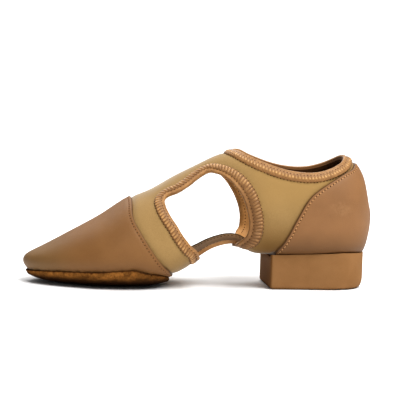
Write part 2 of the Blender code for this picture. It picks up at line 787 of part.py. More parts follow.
def build_shoe():
    """Build every piece of the shoe."""
    clear_scene()
    collection = bpy.data.collections.new("dance_teaching_shoe")
    bpy.context.scene.collection.children.link(collection)

    toe = Lap(edge_across(TOE_CAP_EDGE), 0.0, oval_under(TOE_CAP_OPENING))
    counter = Lap(edge_across(COUNTER_EDGE), math.pi, oval_under(COUNTER_OPENING))
    collar_lateral, collar_medial = collar_halves()
    collar_loop = collar_lateral + collar_medial[-2:0:-1]
    collar_far = [(along, around + 2 * math.pi) for along, around in collar_medial]
    window = loop_under(WINDOW_RIM + WINDOW_END_LATERAL, WINDOW_RIM + WINDOW_END_MEDIAL, EDGE_SPACING)
    sole = loop_under(SOLE_EDGE, SOLE_EDGE, LINE_SPACING)
    forefoot_pad = pad_outline(FOREFOOT_PAD, front_cut=False)
    heel_pad = pad_outline(HEEL_PAD, front_cut=True)
    strap = strap_outline()
    feather_sides = shared_places(HEEL_FEATHER, -1) + shared_places(HEEL_FEATHER, 1)[-2::-1]
    feather = even_line(smooth_line(feather_sides), LINE_SPACING)

    lines = [*toe.lines, *counter.lines, collar_lateral, collar_far, feather]
    loops = [window, sole, toe.opening, counter.opening, forefoot_pad, heel_pad, strap]
    seam_places = [line[0][0] for line in (*toe.lines, *counter.lines)]
    seam_places += [collar_lateral[0][0], collar_lateral[-1][0]]
    net = Net(lines, loops, seam_places)
    no_neoprene = [window, collar_lateral, collar_far, toe.past_neoprene, counter.past_neoprene]

    def on_upper(place):
        """Whether a place is on the neoprene."""
        return not any(inside(place, area) for area in no_neoprene)

    def under(outline):
        """Test for a place inside an outline."""
        return lambda place: inside(place, outline)

    leather_wall = LEATHER + GAP + WALL
    leather_top = GAP + LEATHER
    pieces = (
        ("upper", 0.0, WALL, False, on_upper, full_wall),
        ("toe_cap", leather_top, leather_wall, False, toe.covers, toe.weigh),
        ("heel_counter", leather_top, leather_wall, False, counter.covers, counter.weigh),
        ("sole_patch", leather_top + GAP, SUEDE, True, under(sole), full_wall),
        ("insole_forefoot", -WALL - GAP, PAD, False, under(forefoot_pad), full_wall),
        ("insole_heel", -WALL - GAP, PAD, False, under(heel_pad), full_wall),
        ("arch_strap", -WALL - INNER_GAP, PAD, False, under(strap), full_wall),
    )
    for name, lift, thickness, outwards, keep, weigh in pieces:
        piece = add_piece(name, net.sheet(name, lift, keep, weigh), collection)
        thicken(piece, thickness, outwards)
        if name == "sole_patch":
            press_flat(piece)

    folds = binding_folds(COLLAR_BINDING_WIDTH, COLLAR_BINDING_PARTS)
    mesh = binding_mesh("collar_binding", collar_loop, collar_loop, folds, closed=True)
    add_piece("collar_binding", mesh, collection)
    folds = binding_folds(WINDOW_BINDING_WIDTH, WINDOW_BINDING_PARTS)
    for name, side in (("window_binding_lateral", -1), ("window_binding_medial", 1)):
        mesh = binding_mesh(name, side_path(window, side), window, folds, closed=False)
        add_piece(name, mesh, collection)
    add_piece("heel_block", heel_mesh("heel_block"), collection)


build_shoe()
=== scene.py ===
"""Finished look of a split-sole dance teaching shoe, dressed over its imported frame.

The shoe stands with its toe to -X, its heel to +X, its lateral side to -Y and the floor at Z = 0.
Sizes are in millimetres and become metres where a mesh is made. The last is one closed form with a
pole at the toe tip and one at the back of the heel; a place on it is a pair of angles, along and around.
"""

import logging
import math
from dataclasses import dataclass
from enum import Enum
from typing import NamedTuple, Sequence, Union

import bpy
import numpy as np
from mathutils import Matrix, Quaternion, Vector, geometry, kdtree


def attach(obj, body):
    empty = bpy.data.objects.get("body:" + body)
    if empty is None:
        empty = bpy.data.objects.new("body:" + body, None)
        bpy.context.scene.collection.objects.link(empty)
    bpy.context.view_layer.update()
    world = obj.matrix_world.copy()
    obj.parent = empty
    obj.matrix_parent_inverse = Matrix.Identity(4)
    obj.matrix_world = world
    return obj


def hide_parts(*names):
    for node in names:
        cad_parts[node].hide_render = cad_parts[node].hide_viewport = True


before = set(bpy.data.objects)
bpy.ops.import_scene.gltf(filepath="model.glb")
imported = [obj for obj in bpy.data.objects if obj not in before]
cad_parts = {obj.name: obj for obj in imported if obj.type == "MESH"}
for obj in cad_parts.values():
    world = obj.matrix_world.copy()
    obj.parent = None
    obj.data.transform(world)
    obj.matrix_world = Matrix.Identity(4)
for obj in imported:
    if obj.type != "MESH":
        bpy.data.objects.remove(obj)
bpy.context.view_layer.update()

LOG = logging.getLogger("dance_teaching_shoe")
MILLIMETRE = 0.001
RIDGE = math.inf
KEEL = -math.inf
Places = np.ndarray
Points = np.ndarray
Piece = bpy.types.Object
Material = bpy.types.Material
Socket = bpy.types.NodeSocket
Colour = tuple[float, float, float]
Span = tuple[float, float]
Number = Union["Value", float]
Faces = list[tuple[int, ...]]

SOLVE_STEPS = 40
CURVE_PARTS = 8
LINE_SPACING = 1.6
LINE_SAMPLING = 0.25
NET_SPACING = 2.0
NET_CLEARANCE = 0.55
WELDS_PER_MM = 200.0
PROFILE_SAMPLES = 1600
SECTION_SAMPLES = 721
FEWEST_IN_ROW = 5
POLE_ROW = 0.4
SEAM_ROWS = (0.3, 0.7, 1.1, 1.6, 2.1, 2.6, 3.3, 8.0, 9.6, -0.6, -1.3)


def srgb(red: int, green: int, blue: int) -> Colour:
    """Linear colour of three screen values from 0 to 255."""
    shares = (red / 255.0, green / 255.0, blue / 255.0)
    return tuple(c / 12.92 if c <= 0.04045 else ((c + 0.055) / 1.055) ** 2.4 for c in shares)


class Section(NamedTuple):
    """One section of the last: heights, half widths, fullness above and below, lift of the inner arch."""

    x: float
    bottom: float
    top: float
    widest: float
    lateral: float
    medial: float
    centre: float
    crown: float
    keel: float
    roll: float


class Mark(NamedTuple):
    """A point of a style line: its distance along the shoe and its height."""

    x: float
    z: float


class Share(NamedTuple):
    """A point of a pad's half outline: its distance along the shoe and its share of the half width."""

    x: float
    share: float


class Corner(NamedTuple):
    """A corner of a folded section: how far in from the edge, and its lift off the last."""

    inward: float
    lift: float


class Side(Enum):
    """The two sides of a left shoe."""

    LATERAL = -1
    MEDIAL = 1


LAST_LENGTH = 244.4
ALONG_SCALE = 90.0
AROUND_SCALE = 36.0
SECTIONS = (
    Section(-122.2, 15.0, 15.0, 15.0, 0.0, 0.0, 4.0, 2.0, 2.0, 0.0),
    Section(-120.0, 10.0, 18.4, 14.8, 8.5, 8.5, 4.0, 2.0, 2.1, 0.0),
    Section(-116.0, 7.4, 20.8, 14.8, 14.5, 15.0, 3.8, 2.0, 2.2, 0.0),
    Section(-106.0, 5.0, 26.0, 15.5, 23.5, 25.5, 3.2, 2.0, 2.4, 0.0),
    Section(-90.0, 3.9, 35.0, 16.5, 33.0, 34.5, 2.0, 2.0, 2.5, 0.0),
    Section(-70.0, 3.4, 46.6, 18.5, 41.0, 39.5, 0.8, 2.0, 2.6, 0.0),
    Section(-50.0, 3.3, 60.0, 21.0, 42.8, 42.8, 0.0, 2.0, 2.6, 0.0),
    Section(-35.0, 4.0, 66.5, 24.5, 42.2, 40.2, 0.0, 2.0, 2.5, 0.5),
    Section(-20.0, 8.2, 75.5, 30.0, 40.0, 36.5, 0.0, 1.9, 2.4, 1.8),
    Section(-5.0, 16.6, 83.4, 36.0, 36.8, 33.5, 0.0, 1.9, 2.4, 3.0),
    Section(10.0, 26.0, 91.0, 42.0, 34.2, 31.2, 0.0, 1.9, 2.4, 3.2),
    Section(25.0, 28.8, 96.6, 45.5, 32.2, 30.0, 0.0, 2.0, 2.8, 2.4),
    Section(38.0, 24.4, 101.0, 47.6, 31.3, 29.8, 0.0, 2.0, 3.6, 0.7),
    Section(48.0, 23.7, 103.3, 48.8, 31.0, 29.9, 0.0, 2.0, 4.4, 0.1),
    Section(60.0, 24.0, 104.5, 50.0, 31.0, 30.2, 0.0, 2.0, 5.0, 0.0),
    Section(85.0, 24.8, 101.6, 51.5, 30.0, 29.6, 0.0, 2.0, 5.5, 0.0),
    Section(102.0, 25.4, 94.0, 52.0, 26.5, 26.3, 0.0, 2.1, 5.5, 0.0),
    Section(111.0, 25.7, 86.9, 52.0, 21.0, 21.0, 0.0, 2.2, 5.0, 0.0),
    Section(116.0, 26.2, 78.0, 52.0, 15.4, 15.4, 0.0, 2.2, 4.0, 0.0),
    Section(119.4, 32.5, 63.8, 51.5, 10.0, 10.0, 0.0, 2.1, 2.6, 0.0),
    Section(122.2, 50.0, 50.0, 50.0, 0.0, 0.0, 0.0, 2.0, 2.0, 0.0),
)
TOE_CAP_EDGE = (
    Mark(-48.8, RIDGE), Mark(-49.0, 56.4), Mark(-49.3, 51.2), Mark(-48.0, 45.9), Mark(-44.0, 38.8),
    Mark(-39.2, 31.3), Mark(-34.0, 23.9), Mark(-28.6, 17.4), Mark(-23.1, 12.4), Mark(-18.5, KEEL),
)
COUNTER_EDGE = (
    Mark(110.6, RIDGE), Mark(106.5, 85.0), Mark(100.1, 82.0), Mark(93.0, 78.1), Mark(86.6, 74.3),
    Mark(80.6, 70.3), Mark(75.4, 66.1), Mark(71.0, 60.4), Mark(67.3, 53.9), Mark(63.6, 46.8),
    Mark(60.1, 39.7), Mark(55.9, 32.5), Mark(52.3, 28.0), Mark(49.5, KEEL),
)
COLLAR_EDGE = (
    Mark(22.6, RIDGE), Mark(28.6, 93.8), Mark(35.1, 90.8), Mark(43.1, 87.7), Mark(51.3, 84.9),
    Mark(60.0, 82.8), Mark(70.5, 81.6), Mark(80.0, 82.0), Mark(88.0, 84.0), Mark(95.0, 87.0),
    Mark(100.2, 90.4), Mark(103.0, RIDGE),
)
WINDOW_RIM = (
    Mark(0.5, KEEL), Mark(-4.9, 25.8), Mark(-7.5, 28.3), Mark(-10.4, 31.0), Mark(-13.0, 34.1),
    Mark(-16.5, 38.8), Mark(-19.9, 44.4), Mark(-23.3, 49.2), Mark(-26.2, 54.3), Mark(-27.6, 58.2),
    Mark(-27.9, 61.6), Mark(-25.9, 64.5), Mark(-18.4, 67.5), Mark(-10.6, 72.3), Mark(-2.6, 78.5),
    Mark(3.0, 81.8), Mark(8.5, 81.3), Mark(14.7, 79.0), Mark(19.6, 75.5), Mark(24.4, 70.0),
)
WINDOW_END_LATERAL = (
    Mark(28.4, 63.3), Mark(30.8, 55.9), Mark(32.4, 48.5), Mark(32.3, 42.0), Mark(31.1, 37.8),
    Mark(28.9, 34.6), Mark(26.4, 32.4), Mark(24.0, KEEL),
)
WINDOW_END_MEDIAL = (
    Mark(28.7, 63.3), Mark(32.0, 55.9), Mark(33.8, 48.5), Mark(33.9, 42.0), Mark(33.2, 37.8),
    Mark(30.8, 34.4), Mark(24.0, KEEL),
)
COLLAR_MEDIAL_RISE = 1.5
SOLE_EDGE = (
    Mark(-119.8, KEEL), Mark(-118.6, 9.9), Mark(-114.4, 10.2), Mark(-101.2, 11.2), Mark(-87.3, 11.9),
    Mark(-73.3, 12.6), Mark(-62.5, 13.5), Mark(-48.8, 14.6), Mark(-40.6, 12.9), Mark(-31.0, 11.5),
    Mark(-26.4, 10.2), Mark(-23.6, 9.0), Mark(-23.0, KEEL),
)
FOREFOOT_PAD = (
    Share(-115.0, 0.0), Share(-113.0, 0.42), Share(-106.0, 0.62), Share(-90.0, 0.74), Share(-70.0, 0.78),
    Share(-50.0, 0.8), Share(-35.0, 0.78), Share(-20.0, 0.7), Share(-12.8, 0.62),
)
HEEL_PAD = (
    Share(42.8, 0.66), Share(52.0, 0.72), Share(70.0, 0.74), Share(88.0, 0.74),
    Share(102.0, 0.68), Share(109.0, 0.5), Share(111.5, 0.0),
)


def eased(share: np.ndarray) -> np.ndarray:
    """Smooth step over a share, which is held between 0 and 1."""
    share = np.clip(share, 0.0, 1.0)
    return share * share * (3.0 - 2.0 * share)


def headings(points: Points, closed: bool) -> Points:
    """Unit vectors along a row of points, which may close on itself."""
    ahead = np.roll(points, -1, 0) - np.roll(points, 1, 0) if closed else np.gradient(points, axis=0)
    return ahead / np.linalg.norm(ahead, axis=1)[:, None]


def neighbours(count: int, shift: int, closed: bool) -> np.ndarray:
    """Row numbers a shift further on, which wrap round a closed line and stop at an open one's ends."""
    rows = np.arange(count) + shift
    return rows % count if closed else np.clip(rows, 0, count - 1)


class Last:
    """The closed form that every piece is drawn on."""

    def __init__(self, rows: Sequence[Section]) -> None:
        """Fit smooth curves through the rows.

        Args:
            rows: Sections from the toe tip to the back of the heel.
        """
        table = np.array(rows, dtype=float)
        self.stations = self.along_at(table[:, 0])
        self.columns = table[:, 1:]
        gaps = np.diff(self.stations)[:, None]
        rises = np.diff(self.columns, axis=0) / gaps
        inner = (rises[:-1] * gaps[1:] + rises[1:] * gaps[:-1]) / (gaps[1:] + gaps[:-1])
        self.slopes = np.vstack([rises[:1], inner, rises[-1:]])

    @staticmethod
    def along_at(x: Union[float, np.ndarray]) -> np.ndarray:
        """Angle along the last at a distance x from its middle."""
        return np.arccos(np.clip(-2.0 * np.asarray(x, dtype=float) / LAST_LENGTH, -1.0, 1.0))

    def sections(self, along: np.ndarray) -> np.ndarray:
        """Columns of the section at each angle along the last.

        Args:
            along: Angles along the last.

        Returns:
            One row for each angle, in the order of Section without x.
        """
        row = np.clip(np.searchsorted(self.stations, along) - 1, 0, len(self.stations) - 2)
        span = self.stations[row + 1] - self.stations[row]
        t = np.clip((along - self.stations[row]) / span, 0.0, 1.0)
        start = (2 * t ** 3 - 3 * t ** 2 + 1)[:, None]
        leave = ((t ** 3 - 2 * t ** 2 + t) * span)[:, None]
        arrive = ((t ** 3 - t ** 2) * span)[:, None]
        return (start * self.columns[row] + leave * self.slopes[row]
                + (1 - start) * self.columns[row + 1] + arrive * self.slopes[row + 1])

    def half_width(self, along: np.ndarray, side: Side) -> np.ndarray:
        """Half width of one side at each angle along the last."""
        return self.sections(along)[:, 4 if side is Side.MEDIAL else 3]

    def points(self, places: Places) -> Points:
        """Points of the last at places on it.

        Args:
            places: Places on the last.

        Returns:
            One point for each place, in millimetres.
        """
        bottom, top, widest, lateral, medial, centre, crown, keel, roll = self.sections(places[:, 0]).T
        side = np.sin(places[:, 1])
        height = -np.cos(places[:, 1])
        half = np.maximum(np.where(side > 0, medial, lateral), 1e-9)
        rise = np.maximum(np.where(height > 0, top - widest, widest - bottom), 1e-9)
        power = np.where(height > 0, crown, keel)
        reach = (np.abs(side / half) ** power + np.abs(height / rise) ** power) ** (-1.0 / power)
        lift = roll * reach * side / half * 0.5 * (1.0 - height)
        x = -0.5 * LAST_LENGTH * np.cos(places[:, 0])
        return np.stack([x, centre + reach * side, widest + reach * height + lift], axis=1)

    def axes(self, places: Places) -> tuple[Points, Points, Points]:
        """Changes of the point with each angle, and the outward normals.

        Args:
            places: Places on the last.

        Returns:
            Changes with the angle along, changes with the angle around, and unit normals.
        """
        step = 0.002
        safe = places.copy()
        safe[:, 0] = np.clip(safe[:, 0], 2 * step, math.pi - 2 * step)
        ahead = np.array([step, 0.0])
        turned = np.array([0.0, step])
        by_along = (self.points(safe + ahead) - self.points(safe - ahead)) / (2 * step)
        by_around = (self.points(safe + turned) - self.points(safe - turned)) / (2 * step)
        normals = np.cross(by_around, by_along)
        return by_along, by_around, normals / np.linalg.norm(normals, axis=1)[:, None]

    def lifted(self, places: Places, lift: Union[float, np.ndarray]) -> Points:
        """Points off the last along its normals, outwards for a positive lift."""
        lift = np.broadcast_to(np.asarray(lift, dtype=float), len(places))
        return self.points(places) + lift[:, None] * self.axes(places)[2]

    def places_at_height(self, marks: Sequence[Mark], side: Side) -> Places:
        """Places on one side of the last that have the marks' distances and heights.

        Args:
            marks: Marks of a style line.
            side: Side of the shoe.

        Returns:
            One place for each mark.
        """
        along = self.along_at(np.array([mark.x for mark in marks]))
        goal = np.array([mark.z for mark in marks])
        low = np.zeros(len(marks))
        high = np.full(len(marks), math.pi)
        for _ in range(SOLVE_STEPS):
            middle = 0.5 * (low + high)
            below = self.points(np.stack([along, side.value * middle], axis=1))[:, 2] < goal
            low = np.where(below, middle, low)
            high = np.where(below, high, middle)
        around = np.where(goal == RIDGE, math.pi, np.where(goal == KEEL, 0.0, high))
        return np.stack([along, side.value * around], axis=1)

    def places_at_share(self, x: np.ndarray, share: np.ndarray, side: Side) -> Places:
        """Places under one side of the last at shares of its half width.

        Args:
            x: Distances along the shoe.
            share: Shares of the half width.
            side: Side of the shoe.

        Returns:
            One place for each share.
        """
        along = self.along_at(x)
        half = self.half_width(along, side)
        centre = self.sections(along)[:, 5]
        low = np.zeros(len(along))
        high = np.full(len(along), 0.5 * math.pi)
        for _ in range(SOLVE_STEPS):
            middle = 0.5 * (low + high)
            points = self.points(np.stack([along, side.value * middle], axis=1))
            short = np.abs(points[:, 1] - centre) < share * half
            low = np.where(short, middle, low)
            high = np.where(short, high, middle)
        return np.stack([along, side.value * low], axis=1)

    def step_across(self, line: Places, closed: bool) -> Places:
        """Changes of the two angles that move each place of a line one millimetre across it.

        Args:
            line: Places of the line.
            closed: Whether the line closes on itself.

        Returns:
            One pair of changes for each place, all to the same hand.
        """
        by_along, by_around, normal = self.axes(line)
        across = np.cross(normal, headings(self.points(line), closed))
        aa = (by_along * by_along).sum(1)
        ab = (by_along * by_around).sum(1)
        bb = (by_around * by_around).sum(1)
        da = (across * by_along).sum(1)
        db = (across * by_around).sum(1)
        scale = aa * bb - ab * ab
        return np.stack([(da * bb - db * ab) / scale, (db * aa - da * ab) / scale], axis=1)


LAST = Last(SECTIONS)


def knot_gap(first: Places, second: Places) -> np.ndarray:
    """Root of the distance between two rows of places, which spaces the knots of a smooth curve."""
    apart = (second - first) * [ALONG_SCALE, AROUND_SCALE]
    return np.sqrt(np.maximum(np.linalg.norm(apart, axis=1), 1e-6))[:, None]


def smooth_line(places: Places, closed: bool = False) -> Places:
    """Places on a smooth curve through the given ones.

    Args:
        places: Places that the curve goes through.
        closed: Whether the curve closes on itself.

    Returns:
        The finer line.
    """
    count = len(places)
    stretches = count if closed else count - 1
    before, start, end, after = (places[neighbours(count, shift, closed)[:stretches]]
                                 for shift in (-1, 0, 1, 2))
    first, middle, last = (knot_gap(a, b) for a, b in ((before, start), (start, end), (end, after)))
    leave = end - start + middle * ((start - before) / first - (end - before) / (first + middle))
    arrive = end - start + middle * ((after - end) / last - (after - start) / (middle + last))
    t = (np.arange(CURVE_PARTS) / CURVE_PARTS)[None, :, None]
    blend = 2 * t ** 3 - 3 * t ** 2 + 1
    line = start[:, None, :] * blend + end[:, None, :] * (1 - blend)
    line = line + leave[:, None, :] * (t ** 3 - 2 * t ** 2 + t) + arrive[:, None, :] * (t ** 3 - t ** 2)
    line = line.reshape(-1, 2)
    return line if closed else np.vstack([line, places[-1:]])


def travelled(points: Points) -> np.ndarray:
    """Way travelled to each of the points from the first one."""
    return np.concatenate([[0.0], np.cumsum(np.linalg.norm(np.diff(points, axis=0), axis=1))])


def even_line(line: Places, spacing: float, closed: bool = False) -> Places:
    """The same line with its places evenly apart on the last, both ends kept.

    Args:
        line: Places of the line.
        spacing: Distance between places.
        closed: Whether the line closes on itself.

    Returns:
        The evenly spaced line.
    """
    route = np.vstack([line, line[:1]]) if closed else line
    way = travelled(LAST.points(route))
    count = max(2, round(way[-1] / spacing))
    goals = way[-1] * np.arange(count if closed else count + 1) / count
    return np.stack([np.interp(goals, way, route[:, k]) for k in (0, 1)], axis=1)


def inside(places: Places, outline: Places) -> np.ndarray:
    """Whether each place lies inside a closed outline.

    Args:
        places: Places to test.
        outline: Closed outline.

    Returns:
        One truth value for each place.
    """
    hit = np.zeros(len(places), dtype=bool)
    ends = np.roll(outline, -1, axis=0)
    x, y = places[:, 0], places[:, 1]
    for (x0, y0), (x1, y1) in zip(outline, ends):
        if y0 == y1:
            continue
        span = (y0 > y) != (y1 > y)
        hit ^= span & (x < x0 + (y - y0) / (y1 - y0) * (x1 - x0))
    return hit


def moved_line(line: Places, distance: float, area: Places) -> Places:
    """An open style line moved across the last into an area, its ends kept on the ridge.

    Args:
        line: Places of the line.
        distance: How far it moves; a negative distance moves it out of the area.
        area: Closed outline on the side that it moves to.

    Returns:
        The moved line.
    """
    step = LAST.step_across(line, closed=False)
    wrong = ~inside(line + step, area)
    step[wrong] *= -1.0
    step[[0, -1], 1] = 0.0
    return line + distance * step


class StyleLines:
    """Every line that is drawn on the last, at the net's fineness."""

    def __init__(self, spacing: float) -> None:
        """Draw the lines.

        Args:
            spacing: Distance between a line's places.
        """
        self.spacing = spacing
        self.toe_edge = self._across(TOE_CAP_EDGE)
        self.counter_edge = self._across(COUNTER_EDGE)
        self.toe_area = np.vstack([self.toe_edge, [[0.0, math.pi], [0.0, -math.pi]]])
        self.counter_area = np.vstack([self.counter_edge, [[math.pi, math.pi], [math.pi, -math.pi]]])
        self.window = self._under(WINDOW_RIM + WINDOW_END_LATERAL, WINDOW_RIM + WINDOW_END_MEDIAL)
        self.sole = self._under(SOLE_EDGE, SOLE_EDGE)
        self.collar_lateral, self.collar_medial = self._collar()
        self.collar_far = self.collar_medial + [0.0, 2 * math.pi]
        self.collar_loop = np.vstack([self.collar_lateral, self.collar_medial[-2:0:-1]])
        self.forefoot_pad = self._pad(FOREFOOT_PAD, front_cut=False)
        self.heel_pad = self._pad(HEEL_PAD, front_cut=True)

    def _across(self, marks: Sequence[Mark]) -> Places:
        """A line from the ridge under the foot and back up to the ridge."""
        lateral, medial = (LAST.places_at_height(marks, side) for side in Side)
        return even_line(smooth_line(np.vstack([lateral, medial[-2::-1]])), self.spacing)

    def _under(self, lateral_marks: Sequence[Mark], medial_marks: Sequence[Mark]) -> Places:
        """A closed line whose half outlines start and end on the keel."""
        lateral, medial = (LAST.places_at_height(marks, side)
                           for marks, side in zip((lateral_marks, medial_marks), Side))
        return even_line(smooth_line(np.vstack([lateral, medial[-2:0:-1]]), True), self.spacing, True)

    def _collar(self) -> tuple[Places, Places]:
        """The collar's edge on both sides, from the throat to the back.

        Returns:
            The lateral and the medial line.
        """
        lateral = LAST.places_at_height(COLLAR_EDGE, Side.LATERAL)
        raised = [Mark(mark.x, mark.z + COLLAR_MEDIAL_RISE) for mark in COLLAR_EDGE]
        medial = LAST.places_at_height(raised, Side.MEDIAL) - [0.0, 2 * math.pi]
        loop = smooth_line(np.vstack([lateral, medial[-2:0:-1]]), True)
        turn = CURVE_PARTS * (len(COLLAR_EDGE) - 1)
        far = np.vstack([loop[turn:], loop[:1]])[::-1]
        return even_line(loop[:turn + 1], self.spacing), even_line(far, self.spacing)

    def _pad(self, shares: Sequence[Share], front_cut: bool) -> Places:
        """Closed outline of an insole pad that is cut straight at one end.

        Args:
            shares: Half outline of the pad.
            front_cut: Whether the straight cut is at the front.

        Returns:
            The closed outline.
        """
        x = np.array([row.x for row in shares])
        share = np.array([row.share for row in shares])
        lateral, medial = (even_line(smooth_line(LAST.places_at_share(x, share, side)), self.spacing)
                           for side in Side)
        if front_cut:
            cut = even_line(np.vstack([medial[:1], lateral[:1]]), self.spacing)[1:-1]
            return np.vstack([lateral, medial[-2::-1], cut])
        cut = even_line(np.vstack([lateral[-1:], medial[-1:]]), self.spacing)[1:-1]
        return np.vstack([lateral, cut, medial[:0:-1]])


class FineNet:
    """A fine net of triangles over the whole last that follows every style line."""

    def __init__(self, spacing: float, lines: Sequence[Places], loops: Sequence[Places]) -> None:
        """Lay the net.

        Args:
            spacing: Distance between the net's places.
            lines: Open lines, some of which end on the ridge.
            loops: Closed lines.
        """
        self.spacing = spacing
        chains: list[Places] = []
        edges: list[tuple[int, int]] = []
        self._count = 0
        for line in lines:
            edges += self._chain(chains, line, False)
        for loop in loops:
            edges += self._chain(chains, loop, True)
        rows = self._rows()
        chains.append(self._row_places(rows, np.vstack(chains)))
        self._count += len(chains[-1])
        ends = [along for line in lines for along, around in line[[0, -1]]
                if abs(abs(around) - math.pi) < 1e-6]
        seam = self._seam(rows, sorted(set(np.round(ends, 9))))
        for side in (-math.pi, math.pi):
            edges += self._chain(chains, np.stack([seam, np.full(len(seam), side)], axis=1), False)
        for pole in (0.0, math.pi):
            edges += self._chain(chains, np.array([[pole, -math.pi], [pole, math.pi]]), False)
        scale = np.array([ALONG_SCALE, AROUND_SCALE])
        flat = [Vector(place) for place in np.vstack(chains) * scale]
        result = geometry.delaunay_2d_cdt(flat, edges, [], 0, 1e-4)
        places = np.array([tuple(spot) for spot in result[0]]) / scale
        triangles = np.array(result[2])
        keys = np.round(LAST.points(places) * WELDS_PER_MM).astype(np.int64)
        _, first, same = np.unique(keys, axis=0, return_index=True, return_inverse=True)
        self.middles = places[triangles].mean(axis=1)
        self.triangles = same.reshape(-1)[triangles]
        whole = (np.diff(np.sort(self.triangles, axis=1), axis=1) > 0).all(axis=1)
        self.triangles = self.triangles[whole][:, ::-1]
        self.middles = self.middles[whole]
        self.places = places[first]
        self.points = LAST.points(self.places)
        self.normals = LAST.axes(self.places)[2]

    def _chain(self, chains: list[Places], line: Places, closed: bool) -> list[tuple[int, int]]:
        """Add a line's places to the chains.

        Args:
            chains: Places of the lines so far.
            line: Line to add.
            closed: Whether the line closes on itself.

        Returns:
            Edges of the line, as pairs of place numbers.
        """
        first = self._count
        self._count += len(line)
        chains.append(line)
        edges = [(k, k + 1) for k in range(first, self._count - 1)]
        return edges + [(self._count - 1, first)] if closed else edges

    def _rows(self) -> np.ndarray:
        """Angles along the last of the net's rows, evenly apart over the mean of four profiles.

        Returns:
            The angles.
        """
        angles = np.linspace(0.0, math.pi, PROFILE_SAMPLES)
        ways = [travelled(LAST.points(np.stack([angles, np.full(len(angles), turn)], axis=1)))
                for turn in (0.0, -0.5 * math.pi, 0.5 * math.pi, math.pi)]
        way = np.mean(ways, axis=0)
        count = round(way[-1] / self.spacing)
        numbers = np.concatenate([[POLE_ROW], np.arange(1, count), [count - POLE_ROW]])
        return np.interp(way[-1] * numbers / count, way, angles)

    def _row_places(self, rows: np.ndarray, taken: Places) -> Places:
        """Places of the rows, evenly apart around each section, that keep clear of the lines.

        Args:
            rows: Angles along the last.
            taken: Places of the lines.

        Returns:
            The places.
        """
        turns = np.linspace(-math.pi, math.pi, SECTION_SAMPLES)
        places = []
        for number, along in enumerate(rows):
            way = travelled(LAST.points(np.stack([np.full(len(turns), along), turns], axis=1)))
            count = max(FEWEST_IN_ROW, round(way[-1] / self.spacing))
            offset = 0.5 if number % 2 else 1.0
            numbers = np.arange(count if number % 2 else count - 1) + offset
            around = np.interp(way[-1] * numbers / count, way, turns)
            places.append(np.stack([np.full(len(around), along), around], axis=1))
        places = np.vstack(places)
        return places[distance_to(LAST.points(places), LAST.points(taken)) > NET_CLEARANCE * self.spacing]

    def _seam(self, rows: np.ndarray, ends: Sequence[float]) -> np.ndarray:
        """Angles along the ridge, where the net is cut open.

        Args:
            rows: Angles along the last of the net's rows.
            ends: Angles at which lines end on the ridge.

        Returns:
            The angles in order.
        """
        seam = [0.0, math.pi, *ends]
        for along in rows:
            here = LAST.points(np.array([[along, math.pi]]))
            others = LAST.points(np.array([[other, math.pi] for other in seam]))
            if np.linalg.norm(others - here, axis=1).min() > NET_CLEARANCE * self.spacing:
                seam.append(float(along))
        return np.array(sorted(seam))


def distance_to(points: Points, targets: Points) -> np.ndarray:
    """Distance of each point to the nearest of the targets.

    Args:
        points: Points to measure from.
        targets: Points to measure to.

    Returns:
        One distance for each point.
    """
    tree = kdtree.KDTree(len(targets))
    for index, target in enumerate(targets):
        tree.insert(target, index)
    tree.balance()
    return np.array([tree.find(point)[2] for point in points])


def distance_to_line(points: Points, line: Places, closed: bool = False) -> np.ndarray:
    """Distance of each point to a line on the last, which is sampled finely for it."""
    return distance_to(points, LAST.points(even_line(line, LINE_SAMPLING, closed)))


def hump(distance: np.ndarray, middle: float, width: float) -> np.ndarray:
    """A soft ridge of height one over a distance."""
    return np.exp(-((distance - middle) / width) ** 2)


def rolled(distance: np.ndarray, radius: float) -> np.ndarray:
    """Rise of a rounded edge, from nothing at the edge to one at its radius."""
    t = np.clip(distance / radius, 0.0, 1.0)
    return np.sqrt(1.0 - (1.0 - t) ** 2)


def finish_mesh(name: str, points: Points, faces: Sequence[Sequence[int]],
                materials: Sequence[Material], slots: Union[np.ndarray, None] = None,
                sharp_deg: float = 40.0) -> Piece:
    """Object of a smooth mesh at the origin.

    Args:
        name: Name of the piece.
        points: Corners in millimetres.
        faces: Corner numbers of each face.
        materials: Materials of the piece.
        slots: Number of each face's material.
        sharp_deg: Angle over which an edge stays sharp.

    Returns:
        The new object, linked to the scene.
    """
    mesh = bpy.data.meshes.new(name)
    mesh.from_pydata((np.asarray(points) * MILLIMETRE).tolist(), [], [list(map(int, face)) for face in faces])
    for material in materials:
        mesh.materials.append(material)
    if slots is not None:
        mesh.polygons.foreach_set("material_index", np.asarray(slots, dtype=np.int32))
    mesh.shade_smooth()
    mesh.set_sharp_from_angle(angle=math.radians(sharp_deg))
    mesh.update()
    piece = bpy.data.objects.new(name, mesh)
    bpy.context.scene.collection.objects.link(piece)
    return piece


def side_faces(rings: int, sides: int, closed: bool = False, start: int = 0) -> Faces:
    """Faces between the rings of a tube.

    Args:
        rings: Number of rings.
        sides: Corners of each ring.
        closed: Whether the last ring joins the first.
        start: Number of the first ring's first corner.

    Returns:
        The faces, ring by ring.
    """
    faces = []
    for ring in range(rings if closed else rings - 1):
        a, b = start + ring * sides, start + (ring + 1) % rings * sides
        faces += [(a + k, a + (k + 1) % sides, b + (k + 1) % sides, b + k) for k in range(sides)]
    return faces


def tube_faces(rings: int, sides: int, closed: bool = False) -> Faces:
    """Faces of a whole tube: its sides, and then an end face on both ends unless it closes on itself."""
    ends = [tuple(range(sides))[::-1], tuple(range((rings - 1) * sides, rings * sides))]
    return side_faces(rings, sides, closed) + ([] if closed else ends)


